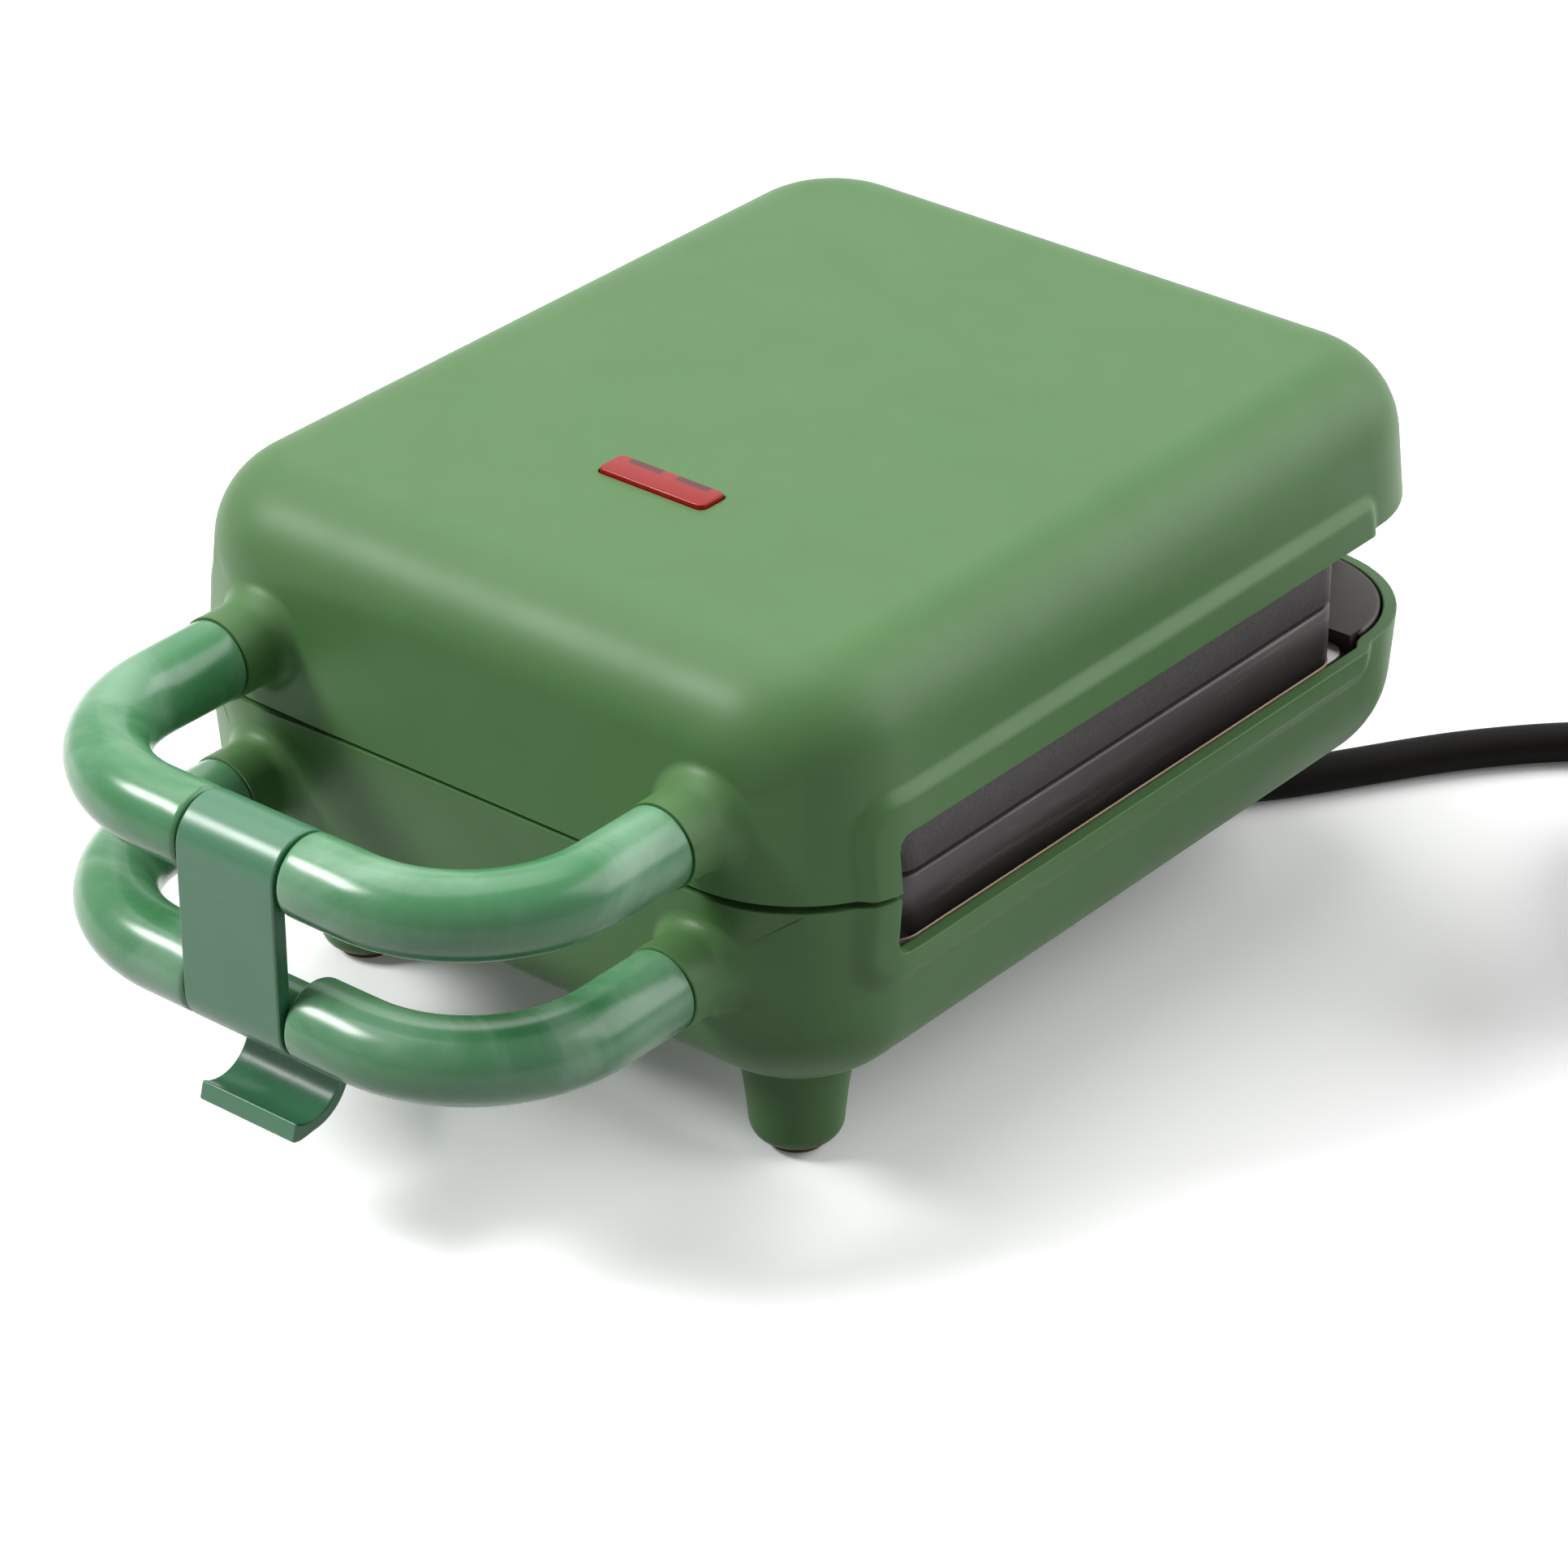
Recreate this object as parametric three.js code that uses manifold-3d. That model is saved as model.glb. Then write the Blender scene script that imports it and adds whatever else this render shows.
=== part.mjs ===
// A compact snack maker with a hinged lid, two clip-in plates, bent tube handles and a latch clip.
// Millimetres, +Z up, the handles point to -Y, the hinge is at +Y, the feet stand on z = 0.

import * as THREE from "three";
import { mergeVertices } from "three/addons/utils/BufferGeometryUtils.js";
import Module from "manifold-3d";

// Driving dimensions of the body
const bodyWidth = 131;
const bodyDepth = 160;
const undersideHeight = 16;
const baseHeight = 36.6;
const lidHeight = 33.4;
const planCorner = 22;
const lidTopRound = 14.2;
const undersideRound = 16.6;
const lidDraftDegrees = 5.5;
const baseDraftDegrees = 4.3;
const shellWall = 2.2;
const partingGap = 0.8;
const fitGap = 0.3;
const cutOverrun = 1;

// Driving dimensions of the side window and its raised rim
const windowSetback = 17.5;
const lidWindowRise = 9.4;
const baseWindowDrop = 10.6;
const windowCorner = 2.5;
const rimProud = 1.5;
const lidRimWidth = 6.2;
const baseRimWidth = 4.6;
const rimPost = 7;
const rimEndSetback = 24;
const rimRound = 6;
const rimEndRound = 2.8;

// Driving dimensions of the plates and the inner frames
const plateSideSetback = 4.1;
const plateFrontSetback = 22;
const plateRearSetback = 28;
const plateHeight = 9.5;
const plateSplitGap = 0.9;
const plateSplitDrop = 1.4;
const deckDrop = 10.1;
const deckThickness = 3;

// Driving dimensions of the handles and the latch clip
const handleReach = 44.2;
const handleInset = 22.65;
const handleBend = 23.7;
const tubeRadius = 6.4;
const neckRadius = 4.3;
const upperHandleRise = 11;
const lowerHandleDrop = 12.6;
const clipWidth = 18.6;

// Driving dimensions of the hinge
const hingeBehind = 1;
const knuckleRadius = 5;
const hingePinRadius = 1.5;
const hingeArmWidth = 10;
const hingeEarWidth = 5;
const hingeArmOffset = 29;

// Driving dimension of the lead
const cordRadius = 3.25;

// Places worked out from the driving dimensions
const partingHeight = undersideHeight + baseHeight;
const lidTopHeight = partingHeight + lidHeight;
const floorHeight = undersideHeight + shellWall;
const ceilingHeight = lidTopHeight - shellWall;
const frontY = -bodyDepth / 2;
const rearY = bodyDepth / 2;
const windowFrontY = frontY + windowSetback;
const handleX = bodyWidth / 2 - handleInset;
const handleY = frontY - handleReach;
const hingeY = rearY + hingeBehind;
const hingeHeight = partingHeight;
const frontmostY = handleY - tubeRadius;
const rearmostY = hingeY + knuckleRadius;
const frameShiftY = -(frontmostY + rearmostY) / 2;

// Colours and finishes
function finish(color, roughness, metalness) {
  return new THREE.MeshStandardMaterial({ color, roughness, metalness });
}
const housingGreen = finish(0x5f8a58, 0.55, 0);
const marbledGreen = finish(0x5e9a6e, 0.25, 0);
const clipGreen = finish(0x43705a, 0.4, 0);
const lensRed = finish(0xb3261c, 0.15, 0);
const plateDark = finish(0x4a4547, 0.6, 0.3);
const frameDark = finish(0x36302f, 0.6, 0);
const sheetBright = finish(0xb9b5b0, 0.4, 0.9);
const elementGrey = finish(0x77736e, 0.5, 0.8);
const steelBright = finish(0xb4b4b4, 0.35, 1);
const brassYellow = finish(0xb89a55, 0.35, 1);
const rubberBrown = finish(0x5c4c42, 0.85, 0);
const cordBlack = finish(0x121110, 0.5, 0);
const ceramicWhite = finish(0xe2ded4, 0.5, 0);
const lampAmber = finish(0xc76a2c, 0.2, 0);
const lampGreen = finish(0x3c8a4c, 0.2, 0);
const wireBlue = finish(0x2b4f9a, 0.5, 0);
const wireBrown = finish(0x6a4026, 0.5, 0);
const wireStriped = finish(0x7f9a3a, 0.5, 0);
const wireWhite = finish(0xd9d6cc, 0.6, 0);

// Number of steps in round shapes
const cornerSteps = 5;
const roundSteps = 4;
const flareSteps = 3;
const bendSteps = 7;
const tubeSides = 16;
const boltSides = 12;
const pinSides = 8;
const arcStepDegrees = 15;
const quarterTurn = Math.PI / 2;
const fullTurn = 2 * Math.PI;

const wasm = await Module();
wasm.setup();

const weldTolerance = 1e-4;

// A closed solid from a geometry: shared points are merged and the faces point outwards
function solidOf(geometry) {
  const bare = geometry.clone();
  bare.deleteAttribute("normal");
  bare.deleteAttribute("uv");
  const merged = mergeVertices(bare, weldTolerance);
  const points = merged.attributes.position.array;
  const kept = [];
  let volume = 0;
  for (let i = 0; i < merged.index.count; i += 3) {
    const [a, b, c] = [0, 1, 2].map((k) => merged.index.array[i + k]);
    if (a === b || b === c || c === a) continue;
    kept.push(a, b, c);
    const [p, q, r] = [a, b, c].map((k) => new THREE.Vector3().fromArray(points, k * 3));
    volume += p.dot(q.cross(r));
  }
  if (volume < 0) {
    for (let i = 0; i < kept.length; i += 3) {
      [kept[i], kept[i + 1]] = [kept[i + 1], kept[i]];
    }
  }
  const shape = { numProp: 3, vertProperties: points, triVerts: new Uint32Array(kept) };
  return new wasm.Manifold(new wasm.Mesh(shape));
}

function geometryOf(solid) {
  const mesh = solid.getMesh();
  const geometry = new THREE.BufferGeometry();
  geometry.setAttribute("position", new THREE.BufferAttribute(mesh.vertProperties, 3));
  geometry.setIndex(new THREE.BufferAttribute(mesh.triVerts, 1));
  geometry.computeVertexNormals();
  return geometry;
}

function joined(solids) {
  return solids.reduce((whole, next) => whole.add(next));
}

function cutFrom(solid, cutters) {
  return cutters.reduce((whole, next) => whole.subtract(next), solid);
}

// A box between two corners, given in any order
function box(x0, x1, y0, y1, z0, z1) {
  const geometry = new THREE.BoxGeometry(Math.abs(x1 - x0), Math.abs(y1 - y0), Math.abs(z1 - z0));
  geometry.translate((x0 + x1) / 2, (y0 + y1) / 2, (z0 + z1) / 2);
  return solidOf(geometry);
}

// A straight round bar along one axis, from one end to the other
function bar(axis, radius, x, y, z, from, to, sides = boltSides) {
  const geometry = new THREE.CylinderGeometry(radius, radius, Math.abs(to - from), sides);
  const middle = (from + to) / 2;
  if (axis === "x") geometry.rotateZ(quarterTurn).translate(middle, y, z);
  if (axis === "y") geometry.translate(x, middle, z);
  if (axis === "z") geometry.rotateX(quarterTurn).translate(x, y, middle);
  return solidOf(geometry);
}

// A turned shape: profile points are [radius, distance along the axis], first and last on the axis
function turned(axis, profile, x, y, z, sides = boltSides) {
  const points = profile.map(([radius, along]) => new THREE.Vector2(radius, along));
  const geometry = new THREE.LatheGeometry(points, sides);
  if (axis === "x") geometry.rotateZ(-quarterTurn);
  if (axis === "z") geometry.rotateX(quarterTurn);
  geometry.translate(x, y, z);
  return solidOf(geometry);
}

// A closed skin through rings of equally many points, with a fan over the first and the last
function loft(rings) {
  const count = rings[0].length;
  const points = rings.flat();
  const triangles = [];
  for (let k = 0; k + 1 < rings.length; k += 1) {
    for (let i = 0; i < count; i += 1) {
      const a = k * count + i;
      const b = k * count + ((i + 1) % count);
      triangles.push(a, b, b + count, a, b + count, a + count);
    }
  }
  [0, rings.length - 1].forEach((k) => {
    const middle = new THREE.Vector3();
    rings[k].forEach((p) => middle.addScaledVector(p, 1 / count));
    points.push(middle);
    for (let i = 0; i < count; i += 1) {
      const a = k * count + i;
      const b = k * count + ((i + 1) % count);
      if (k === 0) triangles.push(b, a, points.length - 1);
      else triangles.push(a, b, points.length - 1);
    }
  });
  const geometry = new THREE.BufferGeometry().setFromPoints(points);
  geometry.setIndex(triangles);
  return solidOf(geometry);
}

// A rounded rectangle at one height
function roundedRing(halfX, halfY, radius, z, middleY = 0, steps = cornerSteps) {
  const ring = [];
  const corners = [[1, 1], [-1, 1], [-1, -1], [1, -1]];
  corners.forEach(([signX, signY], quarter) => {
    for (let k = 0; k <= steps; k += 1) {
      const angle = (quarter + k / steps) * quarterTurn;
      const x = signX * (halfX - radius) + radius * Math.cos(angle);
      const y = signY * (halfY - radius) + radius * Math.sin(angle);
      ring.push(new THREE.Vector3(x, middleY + y, z));
    }
  });
  return ring;
}

function roundedBlock(halfX, halfY, radius, z0, z1, middleY = 0, steps = cornerSteps) {
  return loft([z0, z1].map((z) => roundedRing(halfX, halfY, radius, z, middleY, steps)));
}

// An outline in the YZ plane carried along X: points are [y, z]
function slab(outline, x0, x1) {
  const shape = new THREE.Shape(outline.map(([y, z]) => new THREE.Vector2(y, z)));
  const geometry = new THREE.ExtrudeGeometry(shape, { depth: Math.abs(x1 - x0), bevelEnabled: false });
  geometry.rotateX(quarterTurn).rotateZ(quarterTurn).translate(Math.min(x0, x1), 0, 0);
  return solidOf(geometry);
}

// Points of an arc in the YZ plane, from one angle to another in degrees, 0 along +Y and 90 along +Z
function arc(y, z, radius, from, to) {
  const steps = Math.max(2, Math.ceil(Math.abs(to - from) / arcStepDegrees));
  return Array.from({ length: steps + 1 }, (_, k) => {
    const angle = THREE.MathUtils.degToRad(from + ((to - from) * k) / steps);
    return [y + radius * Math.cos(angle), z + radius * Math.sin(angle)];
  });
}

// A level tube of changing radius: each station holds x, y, radius and the heading as x and y
function levelTube(stations, z, sides = tubeSides) {
  return loft(stations.map(([x, y, radius, headingX, headingY]) => (
    Array.from({ length: sides }, (_, k) => {
      const angle = (k / sides) * fullTurn;
      const across = radius * Math.cos(angle);
      return new THREE.Vector3(x + headingY * across, y - headingX * across, z + radius * Math.sin(angle));
    })
  )));
}

// The stations of a U-shaped tube: one leg and bend, then the same mirrored
function mirroredStations(half) {
  const other = half.map(([x, y, radius, headingX, headingY]) => [-x, y, radius, headingX, -headingY]);
  return [...half, ...other.reverse()];
}

// A wire or cord: a round section carried along a smooth curve through the given points
function strand(points, radius, sides, steps) {
  const curve = new THREE.CatmullRomCurve3(points.map((p) => new THREE.Vector3(...p)), false, "centripetal");
  const section = new THREE.Shape();
  for (let k = 0; k < sides; k += 1) {
    const angle = (k / sides) * fullTurn;
    const at = [radius * Math.cos(angle), radius * Math.sin(angle)];
    if (k === 0) section.moveTo(...at);
    else section.lineTo(...at);
  }
  return solidOf(new THREE.ExtrudeGeometry(section, { steps, extrudePath: curve, bevelEnabled: false }));
}

const maker = new THREE.Group();
maker.position.y = frameShiftY;

function place(name, solid, material, group = maker) {
  const mesh = new THREE.Mesh(geometryOf(solid), material);
  mesh.name = name;
  group.add(mesh);
}

// The two halves: side is +1 in the lid, where depth into the half goes up, and -1 in the base
const lid = {
  side: 1,
  draft: THREE.MathUtils.degToRad(lidDraftDegrees),
  height: lidHeight,
  round: lidTopRound,
  windowReach: lidWindowRise,
  rimWidth: lidRimWidth,
  handleHeight: partingHeight + upperHandleRise,
};
const base = {
  side: -1,
  draft: THREE.MathUtils.degToRad(baseDraftDegrees),
  height: baseHeight,
  round: undersideRound,
  windowReach: baseWindowDrop,
  rimWidth: baseRimWidth,
  handleHeight: partingHeight - lowerHandleDrop,
};

function fromParting(half, away) {
  return partingHeight + half.side * away;
}
function fromSplit(half, away) {
  return partingHeight - plateSplitDrop + half.side * away;
}
function fromDeck(half, depth) {
  return fromParting(half, deckDrop + depth);
}

// How far the outer wall has drawn in at a distance from the parting plane
function wallInset(half, away) {
  const flank = half.height - half.round + half.round * Math.sin(half.draft);
  if (away <= flank) return away * Math.tan(half.draft);
  const rise = Math.min((away - half.height + half.round) / half.round, 1);
  return flank * Math.tan(half.draft) + half.round * (Math.cos(half.draft) - Math.sqrt(1 - rise ** 2));
}

// Outer skin of one half as a solid block, grown or shrunk by an offset
function skin(half, offset, from) {
  const grown = { ...half, height: half.height + offset, round: half.round + offset };
  const levels = [from];
  for (let k = 0; k <= roundSteps; k += 1) {
    const turn = half.draft + (k / roundSteps) * (quarterTurn - half.draft);
    levels.push(grown.height - grown.round + grown.round * Math.sin(turn));
  }
  return loft(levels.map((away) => {
    const inset = wallInset(grown, away) - offset;
    const corner = Math.max(planCorner - inset, shellWall);
    return roundedRing(bodyWidth / 2 - inset, bodyDepth / 2 - inset, corner, fromParting(half, away));
  }));
}

// The side window and rear gap of one half, as a cutter
function windowCutter(half) {
  const roundHeight = fromParting(half, half.windowReach - windowCorner);
  const outline = [
    [windowFrontY, fromParting(half, -cutOverrun)],
    ...arc(windowFrontY + windowCorner, roundHeight, windowCorner, half.side * 180, half.side * 90),
    [rearmostY + cutOverrun, fromParting(half, half.windowReach)],
    [rearmostY + cutOverrun, fromParting(half, -cutOverrun)],
  ];
  return slab(outline, -bodyWidth, bodyWidth);
}

// The raised rim along the window of one half and down its front post
function raisedRim(half) {
  const edge = partingGap / 2;
  const crest = half.windowReach + half.rimWidth;
  const postY = windowFrontY - rimPost;
  const endY = rearY - rimEndSetback;
  const outline = [
    [postY, fromParting(half, edge)],
    ...arc(postY + rimRound, fromParting(half, crest - rimRound), rimRound, half.side * 180, half.side * 90),
    ...arc(endY - rimEndRound, fromParting(half, crest - rimEndRound), rimEndRound, half.side * 90, 0),
    [endY, fromParting(half, edge)],
  ];
  return skin(half, rimProud, edge).intersect(slab(outline, -bodyWidth, bodyWidth));
}

// Collars in which the handle ends sit, flared out onto the front wall
const collarReach = 7.7;
const collarStraight = 1.6;
const collarMouthRadius = 6.7;
const collarRootRadius = 12.5;
const socketRadius = 4.3;
const socketDepth = 7.4;
const screwShankRadius = 1.5;
const screwHoleRadius = screwShankRadius + fitGap;
const collarMouthY = frontY - collarReach;
const bothSides = [-1, 1];

// Where the front wall stands at a place across and up
function frontWallY(half, x, z) {
  const corner = planCorner - wallInset(half, half.side * (z - partingHeight));
  const over = Math.max(Math.abs(x) - bodyWidth / 2 + planCorner, 0);
  return frontY + planCorner - Math.sqrt(corner ** 2 - over ** 2);
}

function collar(half, x) {
  const flareY = collarMouthY + collarStraight;
  const ringAt = (radius, seat) => Array.from({ length: tubeSides }, (_, k) => {
    const angle = (k / tubeSides) * fullTurn;
    const across = x + radius * Math.cos(angle);
    const z = half.handleHeight + radius * Math.sin(angle);
    return new THREE.Vector3(across, seat(frontWallY(half, across, z)), z);
  });
  const rings = [ringAt(collarMouthRadius, () => collarMouthY), ringAt(collarMouthRadius, () => flareY)];
  for (let k = 1; k <= flareSteps; k += 1) {
    const turn = (k / flareSteps) * quarterTurn;
    const radius = collarMouthRadius + (collarRootRadius - collarMouthRadius) * (1 - Math.cos(turn));
    rings.push(ringAt(radius, (wallY) => flareY + (wallY - flareY) * Math.sin(turn)));
  }
  rings.push(ringAt(collarRootRadius, (wallY) => wallY + shellWall / 2));
  const heights = [fromParting(half, partingGap / 2), fromParting(half, half.height)];
  return loft(rings).intersect(box(-bodyWidth, bodyWidth, collarMouthY, 0, ...heights));
}

function handleHoles(half) {
  const z = half.handleHeight;
  const socketEnds = [collarMouthY - cutOverrun, collarMouthY + socketDepth];
  return bothSides.flatMap((sign) => [
    bar("y", socketRadius, sign * handleX, 0, z, ...socketEnds, tubeSides),
    bar("y", screwHoleRadius, sign * handleX, 0, z, collarMouthY, frontY + 2 * shellWall),
  ]);
}

// Posts that carry the inner frame, with a blind hole for each screw
const postRadius = 4;
const frameScrewLength = 14;
const frontScrewInset = 18.5;
const frontScrewSetback = 12.4;
const rearScrewInset = 27.5;
const rearScrewSetback = 13;
const frontScrewX = bodyWidth / 2 - frontScrewInset;
const rearScrewX = bodyWidth / 2 - rearScrewInset;
const frameScrewPlaces = [
  ["front_left", -frontScrewX, frontY + frontScrewSetback],
  ["front_right", frontScrewX, frontY + frontScrewSetback],
  ["rear_left", -rearScrewX, rearY - rearScrewSetback],
  ["rear_right", rearScrewX, rearY - rearScrewSetback],
];

function framePosts(half) {
  const near = fromDeck(half, deckThickness + fitGap);
  const far = fromParting(half, half.height - shellWall / 2);
  const outer = skin(half, 0, partingGap / 2);
  return frameScrewPlaces.map(([, x, y]) => bar("z", postRadius, x, y, 0, near, far).intersect(outer));
}

function framePostHoles(half) {
  const near = fromDeck(half, deckThickness);
  const far = fromDeck(half, frameScrewLength + cutOverrun);
  return frameScrewPlaces.map(([, x, y]) => bar("z", screwHoleRadius, x, y, 0, near, far));
}

// Hinge arms on the lid, hinge ears on the base and the bores through both
const hingeFlat = 3.7;
const hingeFlatDegrees = 60;
const hingeRootLap = 0.5;
const hingeHeel = 5.6;
const armRootRise = 21.4;
const earRootDrop = 22.6;
const hingeBoreRadius = hingePinRadius + fitGap;
const hingeHalfLength = hingeArmWidth / 2 + fitGap + hingeEarWidth;
const earOffset = hingeHalfLength - hingeEarWidth / 2;
const hingeMiddles = bothSides.map((sign) => sign * hingeArmOffset);

// One hinge plate of a half: it runs from the axis along the rear wall to its root
function hingePlate(half, rootReach, x, width) {
  const rootY = rearY - wallInset(half, rootReach) + hingeRootLap;
  const outline = [
    [hingeY - hingeFlat, fromParting(half, rootReach)],
    [hingeY - hingeFlat, hingeHeight],
    ...arc(hingeY, hingeHeight, knuckleRadius, half.side * (180 + hingeFlatDegrees), half.side * 360),
    [rearmostY, fromParting(half, hingeHeel)],
    [rootY, fromParting(half, rootReach)],
  ];
  return slab(outline, x - width / 2, x + width / 2);
}

function hingeBores() {
  const reach = hingeHalfLength + cutOverrun;
  return hingeMiddles.map((x) => bar("x", hingeBoreRadius, 0, hingeY, hingeHeight, x - reach, x + reach));
}

// Indicator lens and its slot in the lid
const lensLength = 20.2;
const lensDepth = 5.6;
const lensSetback = 43.7;
const lensProud = 0.7;
const lensCorner = 1;
const lensCornerSteps = 3;
const lensFlange = 1.5;
const lensFlangeThickness = 1;
const lensEdge = 0.5;
const lensY = frontY + lensSetback;

function lensBlock(grow, low, high) {
  const halfX = lensLength / 2 + grow;
  const halfY = lensDepth / 2 + grow;
  return roundedBlock(halfX, halfY, lensCorner, low, high, lensY, lensCornerSteps);
}

function hollowShell(half) {
  const collars = bothSides.map((sign) => collar(half, sign * handleX));
  const whole = joined([skin(half, 0, partingGap / 2), raisedRim(half), ...collars]);
  return cutFrom(whole, [skin(half, -shellWall, -cutOverrun), windowCutter(half)]);
}

function lidShell() {
  const arms = hingeMiddles.map((x) => hingePlate(lid, armRootRise, x, hingeArmWidth));
  const shell = joined([hollowShell(lid), ...framePosts(lid), ...arms]);
  const slot = lensBlock(fitGap, ceilingHeight - cutOverrun, lidTopHeight + cutOverrun);
  return cutFrom(shell, [slot, ...framePostHoles(lid), ...handleHoles(lid), ...hingeBores()]);
}

// Feet, moulded on the base, each with a pocket for its pad
const frontFootInset = 22.2;
const frontFootSetback = 22;
const rearFootInset = 45.5;
const rearFootSetback = 21;
const footTopRadius = 8.1;
const footLowRadius = 7.15;
const footLowHeight = 4.6;
const footEndRadius = 4.6;
const footEndHeight = 1;
const padPocketRadius = 3;
const padPocketHeight = 4;
const frontFootX = bodyWidth / 2 - frontFootInset;
const rearFootX = bodyWidth / 2 - rearFootInset;
const footPlaces = [
  ["front_left", -frontFootX, frontY + frontFootSetback],
  ["front_right", frontFootX, frontY + frontFootSetback],
  ["rear_left", -rearFootX, rearY - rearFootSetback],
  ["rear_right", rearFootX, rearY - rearFootSetback],
];

function foot(x, y) {
  const top = undersideHeight + shellWall / 2;
  const profile = [[0, footEndHeight]];
  for (let k = 0; k <= flareSteps; k += 1) {
    const turn = (k / flareSteps) * quarterTurn;
    const radius = footEndRadius + (footLowRadius - footEndRadius) * Math.sin(turn);
    profile.push([radius, footEndHeight + (footLowHeight - footEndHeight) * (1 - Math.cos(turn))]);
  }
  profile.push([footTopRadius, top], [0, top]);
  return turned("z", profile, x, y, 0, tubeSides);
}

// Hood under the base that the lead leaves, open into the base
const outletX = 27.7;
const outletDrop = 6;
const outletBoreRadius = 4.6;
const hoodHalfWidth = 8;
const hoodRearSetback = 68;
const hoodDepth = 22;
const hoodDrop = 12.8;
const hoodWall = 1.8;
const hoodFloor = 1.4;
const outletHeight = undersideHeight - outletDrop;
const hoodRearY = rearY - hoodRearSetback;
const hoodFrontY = hoodRearY - hoodDepth;
const hoodLow = undersideHeight - hoodDrop;

function outletHood(wall, low, high) {
  const half = hoodHalfWidth - wall;
  return box(outletX - half, outletX + half, hoodFrontY + wall, hoodRearY - wall, low, high);
}

function baseShell() {
  const ears = hingeMiddles.flatMap((x) => (
    bothSides.map((sign) => hingePlate(base, earRootDrop, x + sign * earOffset, hingeEarWidth))
  ));
  const feet = footPlaces.map(([, x, y]) => foot(x, y));
  const hood = outletHood(0, hoodLow, undersideHeight + shellWall / 2);
  const shell = joined([hollowShell(base), ...framePosts(base), ...ears, ...feet, hood]);
  const outletEnds = [hoodRearY - hoodWall - cutOverrun, hoodRearY + cutOverrun];
  return cutFrom(shell, [
    outletHood(hoodWall, hoodLow + hoodFloor, floorHeight + cutOverrun),
    bar("y", outletBoreRadius, outletX, 0, outletHeight, ...outletEnds),
    ...footPlaces.map(([, x, y]) => (
      bar("z", padPocketRadius, x, y, 0, footEndHeight - cutOverrun, padPocketHeight)
    )),
    ...framePostHoles(base),
    ...handleHoles(base),
    ...hingeBores(),
  ]);
}

// Cooking plates: a shallow cast pan with two three-cornered pockets and a ridge between them
const plateCorner = 5;
const plateBand = 3.6;
const plateTaper = 5.4;
const plateRimWidth = 8.5;
const pocketDepth = 6.8;
const pocketTaper = 3.5;
const pocketCorner = 7;
const ridgeHalfWidth = 2.6;
const tabThickness = 2.4;
const tabDrop = 5.3;
const tabHalfWidth = 6;
const frontTabHalfWidth = 8;
const frontTabReach = 2.3;
const rearTabReach = 3.6;
const rearTabX = 30;
const plateHalfWidth = bodyWidth / 2 - plateSideSetback;
const plateFrontY = frontY + plateFrontSetback;
const plateRearY = rearY - plateRearSetback;
const plateMiddleY = (plateFrontY + plateRearY) / 2;
const plateHalfDepth = (plateRearY - plateFrontY) / 2;
const plateFace = plateSplitGap / 2;
const plateBack = plateFace + plateHeight;

// A three-cornered ring with rounded corners: one half of the pocket field, cut off by the ridge
function pocketRing(sign, inset, z) {
  const halfX = plateHalfWidth - plateRimWidth - inset;
  const halfY = plateHalfDepth - plateRimWidth - inset;
  const slant = (ridgeHalfWidth + inset) * Math.hypot(halfX, halfY);
  const corners = [[halfX, halfY], [slant / halfY - halfX, halfY], [halfX, slant / halfX - halfY]];
  const radius = Math.max(pocketCorner - inset, pocketCorner / 2);
  return corners.flatMap(([x, y], k) => {
    const here = new THREE.Vector2(x, y);
    const toBefore = new THREE.Vector2(...corners[(k + 2) % 3]).sub(here).normalize();
    const toAfter = new THREE.Vector2(...corners[(k + 1) % 3]).sub(here).normalize();
    const halfAngle = Math.acos(toBefore.dot(toAfter)) / 2;
    const inward = toBefore.clone().add(toAfter).normalize();
    const middle = here.clone().addScaledVector(inward, radius / Math.sin(halfAngle));
    const sweep = Math.PI - 2 * halfAngle;
    const turn = Math.atan2(-inward.y, -inward.x) - sweep / 2;
    return Array.from({ length: cornerSteps + 1 }, (_, step) => {
      const angle = turn + (sweep * step) / cornerSteps;
      const px = middle.x + radius * Math.cos(angle);
      const py = middle.y + radius * Math.sin(angle);
      return new THREE.Vector3(sign * px, plateMiddleY + sign * py, z);
    });
  });
}

function pocket(half, sign) {
  return loft([
    pocketRing(sign, 0, fromSplit(half, plateFace - cutOverrun)),
    pocketRing(sign, 0, fromSplit(half, plateFace)),
    pocketRing(sign, pocketTaper, fromSplit(half, plateFace + pocketDepth)),
  ]);
}

function cookingPlate(half) {
  const levels = [[0, plateFace], [0, plateFace + plateBand], [plateTaper, plateBack]];
  const pan = loft(levels.map(([inset, away]) => {
    const z = fromSplit(half, away);
    return roundedRing(plateHalfWidth - inset, plateHalfDepth - inset, plateCorner, z, plateMiddleY);
  }));
  const tabLevels = [fromSplit(half, tabDrop), fromSplit(half, tabDrop + tabThickness)];
  const frontEnd = plateFrontY - frontTabReach;
  const rearEnd = plateRearY + rearTabReach;
  const tabs = [
    box(-frontTabHalfWidth, frontTabHalfWidth, frontEnd, plateFrontY + plateTaper, ...tabLevels),
    ...bothSides.map((sign) => {
      const x = sign * rearTabX;
      return box(x - tabHalfWidth, x + tabHalfWidth, plateRearY - plateTaper, rearEnd, ...tabLevels);
    }),
  ];
  return cutFrom(joined([pan, ...tabs]), bothSides.map((sign) => pocket(half, sign)));
}

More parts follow.
